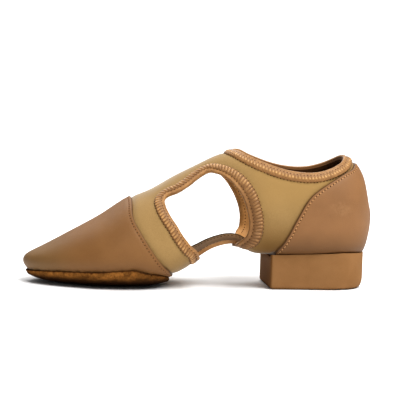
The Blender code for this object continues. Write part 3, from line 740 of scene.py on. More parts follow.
def face_outwards(piece: Piece) -> Piece:
    """Turn the faces of a closed mesh outwards if its volume comes out negative.

    Args:
        piece: Object of a closed mesh.

    Returns:
        The same object.
    """
    mesh = piece.data
    mesh.calc_loop_triangles()
    points = np.array([vertex.co for vertex in mesh.vertices])
    corners = points[np.array([triangle.vertices for triangle in mesh.loop_triangles])]
    volume = (corners[:, 0] * np.cross(corners[:, 1], corners[:, 2])).sum()
    if volume < 0.0:
        mesh.flip_normals()
    return piece


def set_attribute(piece: Piece, name: str, values: np.ndarray) -> None:
    """Give each corner of a piece a number that its material can read."""
    layer = piece.data.attributes.new(name, "FLOAT", "POINT")
    layer.data.foreach_set("value", np.asarray(values, dtype=np.float32))


def hand_over(piece: Piece, slot: str, *nodes: str) -> None:
    """Hang a piece on the root body and hide the frame's nodes that it replaces.

    Args:
        piece: Finished piece.
        slot: Not used.
        nodes: Nodes that the piece replaces.
    """
    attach(piece, "root")
    if nodes:
        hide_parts(*nodes)
    LOG.info("%s: %d faces", piece.name, len(piece.data.polygons))


def shell(name: str, net: FineNet, keep: np.ndarray, outer: np.ndarray, inner: np.ndarray,
          outside: Material, lining: Material,
          attributes: Union[dict[str, np.ndarray], None] = None) -> Piece:
    """Closed shell over some of the net's triangles, with lifts for its outer and its inner face.

    Args:
        name: Name of the piece.
        net: Net that the shell is taken from.
        keep: Which triangles it takes.
        outer: Lift of the outer face at each place of the net.
        inner: Lift of the inner face at each place of the net.
        outside: Material of the outer face and the rim.
        lining: Material of the inner face.
        attributes: Numbers for the material at each place of the net.

    Returns:
        The shell.
    """
    triangles = net.triangles[keep]
    used, flat = np.unique(triangles, return_inverse=True)
    triangles = flat.reshape(-1, 3)
    count = len(used)
    top = net.points[used] + outer[used, None] * net.normals[used]
    bottom = net.points[used] + inner[used, None] * net.normals[used]
    edges = np.vstack([triangles[:, [0, 1]], triangles[:, [1, 2]], triangles[:, [2, 0]]])
    there = set(map(tuple, edges.tolist()))
    rim = [(b, a, a + count, b + count) for a, b in edges.tolist() if (b, a) not in there]
    faces = triangles.tolist() + (triangles[:, ::-1] + count).tolist() + rim
    slots = [0] * len(triangles) + [1] * len(triangles) + [0] * len(rim)
    piece = finish_mesh(name, np.vstack([top, bottom]), faces, [outside, lining], np.array(slots))
    for key, values in (attributes or {}).items():
        set_attribute(piece, key, np.concatenate([values[used], values[used]]))
    return piece


class Graph:
    """A node tree that is written by expressions."""

    def __init__(self, tree: bpy.types.NodeTree) -> None:
        """Take an empty tree.

        Args:
            tree: Tree that the nodes go into.
        """
        self.tree = tree

    def node(self, kind: str, settings: dict[str, object],
             sockets: dict[Union[str, int], object]) -> bpy.types.Node:
        """Add a node.

        Args:
            kind: Type of the node.
            settings: Properties, which are set first.
            sockets: Values or links of its inputs, by name or number.

        Returns:
            The new node.
        """
        made = self.tree.nodes.new(kind)
        for name, setting in settings.items():
            setattr(made, name, setting)
        for key, value in sockets.items():
            socket = made.inputs[key]
            if isinstance(value, Value):
                self.tree.links.new(value.socket, socket)
            elif isinstance(value, Socket):
                self.tree.links.new(value, socket)
            elif isinstance(value, tuple) and len(value) == 3 and socket.type == "RGBA":
                socket.default_value = (*value, 1.0)
            else:
                socket.default_value = value
        return made

    def math(self, operation: str, first: Number, second: Number = 0.0) -> "Value":
        """Result of a Math node."""
        made = self.node("ShaderNodeMath", {"operation": operation}, {0: first, 1: second})
        return Value(self, made.outputs[0])

    def place(self) -> Socket:
        """Object coordinates of the surface."""
        return self.node("ShaderNodeTexCoord", {}, {}).outputs["Object"]

    def axis(self, name: str) -> "Value":
        """One of the Object coordinates, in metres."""
        return Value(self, self.node("ShaderNodeSeparateXYZ", {}, {0: self.place()}).outputs[name])

    def attribute(self, name: str) -> "Value":
        """A number that the piece carries at its corners."""
        return Value(self, self.node("ShaderNodeAttribute", {"attribute_name": name}, {}).outputs["Fac"])

    def noise(self, size: float, detail: float, rough: float = 0.5) -> "Value":
        """Soft noise from 0 to 1 whose features have a size in metres."""
        sockets = {"Vector": self.place(), "Scale": 1.0 / size, "Detail": detail, "Roughness": rough}
        return Value(self, self.node("ShaderNodeTexNoise", {}, sockets).outputs["Fac"])

    def cell_edges(self, size: float) -> "Value":
        """Distances to the edges in a pattern of cells that have a size in metres."""
        made = self.node("ShaderNodeTexVoronoi", {"feature": "DISTANCE_TO_EDGE"},
                         {"Vector": self.place(), "Scale": 1.0 / size})
        return Value(self, made.outputs["Distance"])

    def smooth(self, value: Number, low: float, high: float) -> "Value":
        """Smooth step over a value, from 0 at low to 1 at high."""
        made = self.node("ShaderNodeMapRange", {"interpolation_type": "SMOOTHSTEP"},
                         {"Value": value, "From Min": low, "From Max": high})
        return Value(self, made.outputs["Result"])

    def step_along(self, axis: str, span: Span) -> "Value":
        """Smooth step over a span of one of the Object coordinates, in metres."""
        return self.smooth(self.axis(axis), *span)

    def mix(self, share: Number, first: object, second: object) -> Socket:
        """Colour between two colours."""
        sockets = {0: share, 6: first, 7: second}
        return self.node("ShaderNodeMix", {"data_type": "RGBA"}, sockets).outputs[2]

    def bump(self, height: Number, distance: float, strength: float) -> Socket:
        """Normal of a surface with a height in units of a distance in metres."""
        sockets = {"Strength": strength, "Distance": distance, "Height": height}
        return self.node("ShaderNodeBump", {}, sockets).outputs[0]

    def surface(self, colour: object, roughness: Number, normal: Union[Socket, None],
                constants: dict[str, object]) -> None:
        """End the tree in a surface.

        Args:
            colour: Base colour.
            roughness: Roughness.
            normal: Normal from a Bump node, if any.
            constants: Values that are the same all over.
        """
        sockets = {"Base Color": colour, "Roughness": roughness, **constants}
        if normal is not None:
            sockets["Normal"] = normal
        shader = self.node("ShaderNodeBsdfPrincipled", {}, sockets)
        self.node("ShaderNodeOutputMaterial", {}, {"Surface": shader.outputs[0]})


class Value:
    """A number that a node gives, with the usual operators."""

    def __init__(self, graph: Graph, socket: Socket) -> None:
        """Wrap a socket.

        Args:
            graph: Graph that the socket is in.
            socket: Output socket.
        """
        self.graph = graph
        self.socket = socket

    def __add__(self, other: Number) -> "Value":
        """Sum."""
        return self.graph.math("ADD", self, other)

    def __radd__(self, other: Number) -> "Value":
        """Sum, the other way round."""
        return self.graph.math("ADD", other, self)

    def __sub__(self, other: Number) -> "Value":
        """Difference."""
        return self.graph.math("SUBTRACT", self, other)

    def __rsub__(self, other: Number) -> "Value":
        """Difference, the other way round."""
        return self.graph.math("SUBTRACT", other, self)

    def __mul__(self, other: Number) -> "Value":
        """Product."""
        return self.graph.math("MULTIPLY", self, other)

    def __rmul__(self, other: Number) -> "Value":
        """Product, the other way round."""
        return self.graph.math("MULTIPLY", other, self)

    def __truediv__(self, other: Number) -> "Value":
        """Quotient."""
        return self.graph.math("DIVIDE", self, other)

    def __rtruediv__(self, other: Number) -> "Value":
        """Quotient, the other way round."""
        return self.graph.math("DIVIDE", other, self)

    def __pow__(self, other: Number) -> "Value":
        """Power."""
        return self.graph.math("POWER", self, other)


class Finish:
    """A finish that becomes a material."""

    name: str

    def material(self) -> Material:
        """Make the material.

        Returns:
            A new material with this finish's shader.
        """
        made = bpy.data.materials.new(self.name)
        made.use_nodes = True
        made.node_tree.nodes.clear()
        self.dress(Graph(made.node_tree))
        return made

    def dress(self, graph: Graph) -> None:
        """Write the finish's shader into an empty graph."""
        raise NotImplementedError


@dataclass(frozen=True)
class NeopreneFinish(Finish):
    """Brushed knit face of neoprene, with painted light high on the quarter and painted shade low on it."""

    name: str = "tan_neoprene"
    dark: Colour = srgb(141, 114, 73)
    light: Colour = srgb(156, 127, 84)
    # The next two colours are painted light high on the quarter and painted shade low on it.
    painted_light: Colour = srgb(163, 131, 82)
    shade: Colour = srgb(104, 75, 38)
    # The seam colour is painted shadow beside the leather's edges and the bindings' hems.
    seam: Colour = srgb(84, 56, 26)
    knit: float = 0.0007
    knit_depth: float = 0.0002
    cloud: float = 0.03
    shade_x: Span = (0.022, 0.046)
    shade_z: Span = (0.026, 0.056)
    painted_light_x: Span = (0.02, 0.05)
    painted_light_z: Span = (0.045, 0.07)

    def dress(self, graph: Graph) -> None:
        """Write the shader.

        Args:
            graph: Empty graph.
        """
        knit = graph.noise(self.knit, 3.0, 0.6)
        tone = graph.smooth(0.55 * graph.noise(self.cloud, 3.0) + 0.45 * knit, 0.32, 0.68)
        # Painted shade low on the rear quarter and painted light high on it.
        low = graph.step_along("X", self.shade_x) * (1.0 - graph.step_along("Z", self.shade_z))
        high = graph.step_along("X", self.painted_light_x) * graph.step_along("Z", self.painted_light_z)
        colour = graph.mix(tone, self.dark, self.light)
        colour = graph.mix(0.6 * high, colour, self.painted_light)
        colour = graph.mix(0.85 * low, colour, self.shade)
        # Painted shadow beside the leather's edges and the bindings' hems.
        colour = graph.mix(0.7 * graph.attribute("seam"), colour, self.seam)
        graph.surface(colour, 0.82 + 0.12 * knit, graph.bump(knit, self.knit_depth, 0.4),
                      {"Sheen Weight": 0.5, "Sheen Roughness": 0.35, "Specular IOR Level": 0.1})


@dataclass(frozen=True)
class LeatherFinish(Finish):
    """Smooth leather with a fine grain, a soft sheen and, where it has them, a darker tip, painted shade low
    down and rubbed places, and a dark cut edge that is partly painted shadow.
    """

    name: str
    dark: Colour
    light: Colour
    # The edge colour is the cut edge, partly its own dark colour and partly painted shadow.
    edge: Colour = srgb(56, 34, 16)
    grain: float = 0.0011
    grain_depth: float = 0.00009
    cloud: float = 0.022
    gloss: float = 0.48
    tip: Colour = srgb(100, 82, 50)
    tip_x: Span = (-0.117, -0.08)
    tip_shade: float = 0.0
    # The low colour is painted shade low down.
    low: Colour = srgb(90, 60, 27)
    low_z: Span = (0.022, 0.046)
    low_shade: float = 0.0
    rubbed: Colour = srgb(214, 172, 128)
    scuff_at: tuple[float, float, float] = (0.0958, -0.0275, 0.0577)
    scuff_half: Span = (0.011, 0.0065)
    scuff_streak: float = 0.0035
    scuff: float = 0.0

    def dress(self, graph: Graph) -> None:
        """Write the shader.

        Args:
            graph: Empty graph.
        """
        cloud = graph.noise(self.cloud, 4.0)
        pores = graph.noise(0.45 * self.grain, 2.0)
        creases = graph.smooth(graph.cell_edges(self.grain), 0.0, 0.22)
        tone = graph.smooth(0.75 * cloud + 0.25 * pores, 0.3, 0.7)
        colour = graph.mix(tone, self.dark, self.light)
        if self.tip_shade > 0.0:
            colour = graph.mix(self.tip_shade * (1.0 - graph.step_along("X", self.tip_x)), colour, self.tip)
        # Painted shade, darker towards the bottom.
        if self.low_shade > 0.0:
            colour = graph.mix(self.low_shade * (1.0 - graph.step_along("Z", self.low_z)), colour, self.low)
        roughness = self.gloss + 0.14 * cloud + 0.05 * (1.0 - creases)
        if self.scuff > 0.0:
            x, y, z = self.scuff_at
            half_length, half_height = self.scuff_half
            away = ((graph.axis("X") - x) / half_length) ** 2.0 + ((graph.axis("Z") - z) / half_height) ** 2.0
            worn = graph.smooth(1.0 - away, 0.0, 1.0) * graph.smooth(0.0 - graph.axis("Y"), 0.0, -y)
            streaks = graph.smooth(graph.noise(self.scuff_streak, 4.0, 0.7), 0.3, 0.75)
            colour = graph.mix(self.scuff * worn * streaks, colour, self.rubbed)
            roughness = roughness + 0.12 * worn
        # Dark cut edge: partly the edge's own colour and partly painted shadow of the raised edge.
        colour = graph.mix(0.8 * graph.attribute("seam"), colour, self.edge)
        normal = graph.bump(0.6 * creases + 0.4 * pores, self.grain_depth, 0.55)
        graph.surface(colour, roughness, normal, {"Specular IOR Level": 0.35})


@dataclass(frozen=True)
class BindingFinish(Finish):
    """Ribbed satin ribbon, with a painted highlight along each rib and painted shade low at the back."""

    name: str
    dark: Colour
    light: Colour
    gloss: float
    # The root colour is painted shade, at the ribs' ends and low at the back.
    root: Colour = srgb(98, 63, 25)
    thread: float = 0.0005
    thread_depth: float = 0.00012
    slub: float = 0.0035
    has_painted_highlight: bool = False
    shaded: float = 0.52
    shade_x: Span = (0.014, 0.032)
    shade_z: Span = (0.056, 0.084)

    def dress(self, graph: Graph) -> None:
        """Write the shader.

        Args:
            graph: Empty graph.
        """
        fibre = graph.noise(self.thread, 2.0, 0.6)
        tone = graph.smooth(0.4 * fibre + 0.6 * graph.noise(self.slub, 2.0), 0.38, 0.62)
        colour = graph.mix(tone, self.dark, self.light)
        # Painted highlight along each rib, with painted shade towards its ends.
        if self.has_painted_highlight:
            colour = graph.mix(graph.attribute("crest"), self.root, colour)
        # Painted shade low at the back of the shoe.
        low = graph.step_along("X", self.shade_x) * (1.0 - graph.step_along("Z", self.shade_z))
        colour = graph.mix(self.shaded * low, colour, self.root)
        graph.surface(colour, self.gloss + 0.15 * fibre, graph.bump(fibre, self.thread_depth, 0.5),
                      {"Sheen Weight": 0.15, "Sheen Roughness": 0.35, "Specular IOR Level": 0.4})


@dataclass(frozen=True)
class SuedeFinish(Finish):
    """Napped suede, lighter along its edge and dark low down, partly its worn underside and partly painted
    shadow.
    """

    name: str = "sole_suede"
    # The dark colour low down is partly the worn underside and partly painted shadow; the groove colour at
    # the patch's edge is partly its own dark edge and partly painted shadow.
    dark: Colour = srgb(46, 27, 12)
    light: Colour = srgb(168, 114, 57)
    groove: Colour = srgb(66, 40, 18)
    nap: float = 0.0009
    nap_depth: float = 0.0006
    brush: float = 0.006
    edge_z: Span = (0.0042, 0.0092)
    rear_x: Span = (-0.058, -0.036)

    def dress(self, graph: Graph) -> None:
        """Write the shader.

        Args:
            graph: Empty graph.
        """
        nap = graph.noise(self.nap, 4.0, 0.7)
        brushed = graph.noise(self.brush, 4.0, 0.65)
        # Darker low down: partly the worn underside and partly painted shadow where the sole turns under.
        height = graph.step_along("Z", self.edge_z)
        tone = graph.smooth(0.35 * nap + 0.65 * brushed, 0.36, 0.66)
        worn = 1.0 - 0.45 * graph.step_along("X", self.rear_x)
        colour = graph.mix(worn * (0.06 * tone + (0.25 + 0.55 * tone) * height), self.dark, self.light)
        # Darker along the patch's edge: partly the suede's dark edge and partly painted shadow in the groove.
        colour = graph.mix(1.0 - graph.smooth(graph.attribute("proud"), 0.1, 0.55), colour, self.groove)
        normal = graph.bump(0.7 * nap + 0.3 * brushed, self.nap_depth, 0.9)
        graph.surface(colour, 0.96, normal, {"Specular IOR Level": 0.04})


@dataclass(frozen=True)
class HeelFinish(Finish):
    """Smooth covered heel with a thin ribbed tread that shows as ticks along its bottom edge, and painted
    shade on its front face.
    """

    name: str = "heel_cover"
    dark: Colour = srgb(132, 96, 60)
    light: Colour = srgb(143, 106, 69)
    # The breast colour is painted shade on the front face, which is turned away from the light.
    breast: Colour = srgb(104, 66, 27)
    tread: Colour = srgb(52, 30, 13)
    tread_light: Colour = srgb(90, 58, 32)
    cloud: float = 0.018
    grain: float = 0.0006
    grain_depth: float = 0.00012
    tread_pitch: float = 0.0021
    breast_shade_x: Span = (0.0486, 0.05)
    tick_z: Span = (0.0005, 0.0015)
    under_z: Span = (0.00005, 0.0002)

    def dress(self, graph: Graph) -> None:
        """Write the shader.

        Args:
            graph: Empty graph.
        """
        cloud = graph.noise(self.cloud, 4.0)
        grain = graph.noise(self.grain, 2.0, 0.6)
        tone = graph.smooth(0.7 * cloud + 0.3 * grain, 0.3, 0.7)
        waves = [graph.math("SINE", graph.axis(axis) * (2 * math.pi / self.tread_pitch)) for axis in "XY"]
        ticks = graph.smooth(waves[0] + waves[1], -0.4, 0.6)
        colour = graph.mix(tone, self.dark, self.light)
        # Painted shade on the heel's front face.
        colour = graph.mix(0.6 * (1.0 - graph.step_along("X", self.breast_shade_x)), colour, self.breast)
        low = 1.0 - graph.step_along("Z", self.tick_z)
        under = 1.0 - graph.step_along("Z", self.under_z)
        colour = graph.mix(low * (0.35 + 0.65 * ticks), colour, self.tread)
        colour = graph.mix(under, colour, graph.mix(ticks, self.tread_light, self.tread))
        normal = graph.bump(grain, self.grain_depth, 0.5)
        graph.surface(colour, 0.72 + 0.14 * cloud, normal, {"Specular IOR Level": 0.08})


@dataclass(frozen=True)
class ClothFinish(Finish):
    """Plain woven cloth, as on linings, insole pads and tape."""

    name: str
    dark: Colour
    light: Colour
    weave: float = 0.0008
    weave_depth: float = 0.00012
    cloud: float = 0.012

    def dress(self, graph: Graph) -> None:
        """Write the shader.

        Args:
            graph: Empty graph.
        """
        warp, weft = (graph.math("SINE", graph.axis(axis) * (2 * math.pi / self.weave)) for axis in "XY")
        weave = graph.smooth(warp * weft, -1.0, 1.0)
        tone = graph.smooth(0.3 * weave + 0.7 * graph.noise(self.cloud, 4.0), 0.25, 0.75)
        colour = graph.mix(tone, self.dark, self.light)
        graph.surface(colour, 0.9, graph.bump(weave, self.weave_depth, 0.5),
                      {"Sheen Weight": 0.1, "Specular IOR Level": 0.2})


@dataclass(frozen=True)
class ThreadFinish(Finish):
    """Sewing thread, or the shade in a needle hole."""

    name: str
    dark: Colour
    light: Colour
    roughness: float = 0.6
    twist: float = 0.0006
    twist_depth: float = 0.0001

    def dress(self, graph: Graph) -> None:
        """Write the shader.

        Args:
            graph: Empty graph.
        """
        twist = graph.noise(self.twist, 2.0)
        colour = graph.mix(graph.smooth(twist, 0.3, 0.7), self.dark, self.light)
        normal = graph.bump(twist, self.twist_depth, 0.5)
        graph.surface(colour, self.roughness, normal, {"Specular IOR Level": 0.3})


@dataclass(frozen=True)
class FloorFinish(Finish):
    """Plain pale floor."""

    name: str = "pale_floor"
    shade: Colour = (0.9, 0.9, 0.9)

    def dress(self, graph: Graph) -> None:
        """Write the shader into an empty graph."""
        graph.surface(self.shade, 0.9, None, {"Specular IOR Level": 0.1})


class Finishes:
    """Every material of the shoe."""

    def __init__(self) -> None:
        """Make the materials."""
        self.neoprene = NeopreneFinish().material()
        self.toe = LeatherFinish("toe_leather", srgb(118, 81, 42), srgb(127, 89, 48),
                                 tip_shade=0.45).material()
        # The counter takes painted shade low down.
        self.counter = LeatherFinish("counter_leather", srgb(130, 92, 56), srgb(140, 100, 62),
                                     low_shade=0.7, scuff=0.12).material()
        self.binding = BindingFinish("binding_satin", srgb(142, 101, 57), srgb(164, 120, 71), 0.45).material()
        # Lighter copy of the ribbon for the inner face of the cut-outs' bindings: painted light inside the
        # shoe.
        self.binding_inside = BindingFinish("binding_inside", srgb(176, 127, 72), srgb(196, 144, 85), 0.6,
                                            shaded=0.0).material()
        # Darker copies of the ribbon between the ribs, as painted shade in the gaps, and lighter copies on
        # the ribs, which also carry a painted highlight.
        self.shaded_ground = BindingFinish("binding_ground", srgb(116, 80, 42), srgb(136, 96, 53), 0.55).material()
        self.rib = BindingFinish("binding_rib", srgb(158, 115, 67), srgb(200, 154, 99), 0.38,
                                 has_painted_highlight=True).material()
        self.collar_ground = BindingFinish("collar_ground", srgb(132, 93, 50), srgb(152, 109, 62),
                                           0.5).material()
        self.collar_rib = BindingFinish("collar_rib", srgb(170, 126, 74), srgb(206, 161, 104), 0.36,
                                        srgb(120, 82, 42), has_painted_highlight=True).material()
        self.suede = SuedeFinish().material()
        self.heel = HeelFinish().material()
        self.lining = ClothFinish("lining_cloth", srgb(92, 60, 30), srgb(112, 76, 41)).material()
        self.insole = ClothFinish("insole_cloth", srgb(70, 46, 25), srgb(94, 64, 36)).material()
        self.strap = ClothFinish("strap_cloth", srgb(104, 74, 36), srgb(122, 88, 46), 0.0011).material()
        self.strap_edge = ClothFinish("strap_edge", srgb(58, 42, 23), srgb(78, 56, 31)).material()
        self.thread = ThreadFinish("thread", srgb(178, 130, 82), srgb(204, 156, 106)).material()
        self.toe_thread = ThreadFinish("toe_thread", srgb(128, 86, 48), srgb(150, 104, 62)).material()
        # Dark rods that paint the shade in the needle holes.
        self.hole = ThreadFinish("needle_hole", srgb(52, 30, 13), srgb(72, 43, 20), 0.9).material()


class Spots(NamedTuple):
    """Points with the way that each faces and heads."""

    points: Points
    facing: Points
    heading: Points


def spots_at(places: Places, lift: Union[float, np.ndarray], closed: bool = False) -> Spots:
    """Spots over given places, each heading along them."""
    points = LAST.lifted(places, lift)
    return Spots(points, LAST.axes(places)[2], headings(points, closed))


def spots_on(line: Places, lift: float, pitch: float, closed: bool = False) -> Spots:
    """Spots a pitch apart on a line, each heading along it."""
    return spots_at(even_line(line, pitch, closed), lift, closed)


class RepeatTree:
    """Node tree that sets a pattern piece on every point, turned by the point's own directions."""

    inputs: dict[str, str] = {"Geometry": "NodeSocketGeometry", "Pattern": "NodeSocketObject",
                              "Slant": "NodeSocketFloat", "Jitter": "NodeSocketFloat",
                              "Finish": "NodeSocketMaterial"}
    seed: int = 7

    def __init__(self) -> None:
        """Build the tree."""
        self.tree = bpy.data.node_groups.new("repeat_along_a_line", "GeometryNodeTree")
        face = self.tree.interface
        self.sockets = {name: face.new_socket(name, in_out="INPUT", socket_type=kind).identifier
                        for name, kind in self.inputs.items()}
        face.new_socket("Geometry", in_out="OUTPUT", socket_type="NodeSocketGeometry")
        graph = Graph(self.tree)
        entry = graph.node("NodeGroupInput", {}, {}).outputs
        vector = {"data_type": "FLOAT_VECTOR"}
        facing, heading = (graph.node("GeometryNodeInputNamedAttribute", vector, {"Name": name}).outputs[0]
                           for name in ("facing", "heading"))
        axes = graph.node("FunctionNodeAxesToRotation", {"primary_axis": "Z", "secondary_axis": "X"},
                          {0: facing, 1: heading})
        chance = graph.node("FunctionNodeRandomValue", {"data_type": "FLOAT"},
                            {2: -1.0, 3: 1.0, "Seed": self.seed})
        slant = Value(graph, entry["Slant"]) + Value(graph, entry["Jitter"]) * Value(graph, chance.outputs[1])
        euler = graph.node("ShaderNodeCombineXYZ", {}, {"Z": slant})
        turn = graph.node("FunctionNodeEulerToRotation", {}, {0: euler.outputs[0]})
        turned = graph.node("FunctionNodeRotateRotation", {"rotation_space": "LOCAL"},
                            {0: axes.outputs[0], 1: turn.outputs[0]})
        pattern = graph.node("GeometryNodeObjectInfo", {}, {"Object": entry["Pattern"]})
        stretch = graph.node("ShaderNodeVectorMath", {"operation": "LENGTH"}, {0: heading})
        scale = graph.node("ShaderNodeCombineXYZ", {}, {"X": stretch.outputs["Value"], "Y": 1.0, "Z": 1.0})
        placed = graph.node("GeometryNodeInstanceOnPoints", {},
                            {"Points": entry["Geometry"], "Instance": pattern.outputs["Geometry"],
                             "Rotation": turned.outputs[0], "Scale": scale.outputs[0]})
        real = graph.node("GeometryNodeRealizeInstances", {}, {0: placed.outputs[0]})
        dressed = graph.node("GeometryNodeSetMaterial", {},
                             {"Geometry": real.outputs[0], "Material": entry["Finish"]})
        graph.node("NodeGroupOutput", {}, {0: dressed.outputs[0]})

    def spread(self, name: str, spots: Spots, pattern: Piece, finish: Material,
               slant: float = 0.0, jitter: float = 0.0) -> Piece:
        """Set the pattern on every spot and make the result a plain mesh.

        Args:
            name: Name of the new piece.
            spots: Where the pattern goes.
            pattern: Object that is repeated.
            finish: Material of the result.
            slant: Turn about the surface's normal, in radians.
            jitter: Largest random turn, in radians.

        Returns:
            The new piece.
        """
        mesh = bpy.data.meshes.new(name)
        mesh.from_pydata((spots.points * MILLIMETRE).tolist(), [], [])
        for key, vectors in (("facing", spots.facing), ("heading", spots.heading)):
            layer = mesh.attributes.new(key, "FLOAT_VECTOR", "POINT")
            layer.data.foreach_set("vector", np.asarray(vectors, dtype=np.float32).ravel())
        piece = bpy.data.objects.new(name, mesh)
        modifier = piece.modifiers.new("repeat", "NODES")
        modifier.node_group = self.tree
        values = {"Pattern": pattern, "Slant": slant, "Jitter": jitter, "Finish": finish}
        for key, value in values.items():
            modifier[self.sockets[key]] = value
        bpy.context.scene.collection.objects.link(piece)
        made = bpy.data.meshes.new_from_object(piece.evaluated_get(bpy.context.evaluated_depsgraph_get()))
        piece.modifiers.clear()
        piece.data = made
        return piece


class Bench(NamedTuple):
    """What every piece is made with."""

    net: FineNet
    lines: StyleLines
    tree: RepeatTree
    finishes: Finishes


def turns_of(count: int) -> np.ndarray:
    """Angles evenly apart round a circle."""
    return 2 * math.pi * np.arange(count) / count


def oval(x: float, half_width: float, half_height: float, sides: int, rise: float = 0.0) -> Points:
    """Ring of points round the X axis, for a pattern."""
    turns = turns_of(sides)
    return np.stack([np.full(sides, x), half_width * np.cos(turns), rise + half_height * np.sin(turns)],
                    axis=1)


@dataclass(frozen=True)
class Rod:
    """Size of a small closed rod with round ends: a stitch or a needle hole."""

    length: float
    radius: float
    flat: float = 1.0
    sides: int = 6
    end_share: float = 0.7
    end_place: float = 0.25

    def pattern(self, name: str) -> Piece:
        """Make the rod along X.

        Args:
            name: Name of the pattern.

        Returns:
            The pattern.
        """
        half = 0.5 * self.length
        tip = half - self.end_place * self.radius
        straight = half - self.radius
        stations = ((-tip, self.end_share), (-straight, 1.0), (straight, 1.0), (tip, self.end_share))
        rings = [oval(x, share * self.radius, self.flat * share * self.radius, self.sides)
                 for x, share in stations]
        points = np.vstack([[[-half, 0.0, 0.0]], *rings, [[half, 0.0, 0.0]]])
        end = len(points) - 1
        after = neighbours(self.sides, 1, closed=True)
        faces = [(0, 1 + after[k], 1 + k) for k in range(self.sides)]
        faces += side_faces(len(rings), self.sides, start=1)
        faces += [(end, end - self.sides + k, end - self.sides + after[k]) for k in range(self.sides)]
        return finish_mesh(name, points, faces, [], sharp_deg=180.0)


def band_share(points: Points, front: float = 0.82, rear: float = 1.14, reach: float = 36.0) -> np.ndarray:
    """Share of a cut-out binding's width, which grows from the shoe's middle to a reach behind it."""
    return front + (rear - front) * eased(points[:, 0] / reach)


@dataclass
class Upper:
    """Neoprene body with its instep strap and quarters."""

    wall: float = 2.0
    lap: float = 8.0
    pressed: float = 0.45
    puff: float = 0.35
    puff_reach: float = 4.0
    window_band: float = 8.0
    collar_band: float = 6.7
    hem_offset: float = 0.5
    hem_width: float = 1.3
    # Strength and width of the painted shadow along the bindings' hems.
    hem_shade: float = 0.32
    hem_shadow_width: float = 0.45
    seam_offset: float = 0.6
    seam_width: float = 1.2
    # Width of the painted shadow beside the leather's edges.
    seam_shadow_width: float = 0.6

    def build(self, bench: Bench) -> None:
        """Build the body.

        Args:
            bench: What it is made with.
        """
        net, lines = bench.net, bench.lines
        toe_end = np.vstack([moved_line(lines.toe_edge, self.lap, lines.toe_area), lines.toe_area[-2:]])
        heel_end = np.vstack([moved_line(lines.counter_edge, self.lap, lines.counter_area),
                              lines.counter_area[-2:]])
        keep = np.ones(len(net.triangles), dtype=bool)
        for gone in (lines.window, lines.collar_lateral, lines.collar_far, toe_end, heel_end):
            keep &= ~inside(net.middles, gone)
        window = distance_to_line(net.points, lines.window, True) - self.window_band * band_share(net.points)
        collar = distance_to_line(net.points, lines.collar_loop, True) - self.collar_band
        leather = np.minimum(distance_to_line(net.points, lines.toe_edge),
                             distance_to_line(net.points, lines.counter_edge))
        band = np.minimum(window, collar)
        seam = np.clip(np.minimum(band, leather), 0.0, None)
        outer = self.puff * (1.0 - np.exp(-seam / self.puff_reach))
        for hem in (window, collar):
            outer -= 0.5 * self.pressed * hump(hem, self.hem_offset, self.hem_width)
        under = inside(net.places, lines.toe_area) | inside(net.places, lines.counter_area)
        pulled = self.pressed * hump(leather, self.seam_offset, self.seam_width)
        outer = np.where(under, 0.0, outer - pulled)
        outer = np.where(band < 0.0, np.minimum(outer, 0.0), outer)
        inner = np.full(len(net.points), -self.wall)
        # Painted shadow: the neoprene is darkened along the bindings' hems and beside the leather's edges,
        # and its material reads this as its seam colour.
        hems = np.minimum(np.abs(window), np.abs(collar))
        dark = np.maximum(self.hem_shade * hump(hems, 0.0, self.hem_shadow_width), hump(leather, 0.0, self.seam_shadow_width))
        piece = shell("neoprene_upper", net, keep, outer, inner, bench.finishes.neoprene,
                      bench.finishes.lining, {"seam": dark})
        hand_over(piece, "neoprene", "upper")


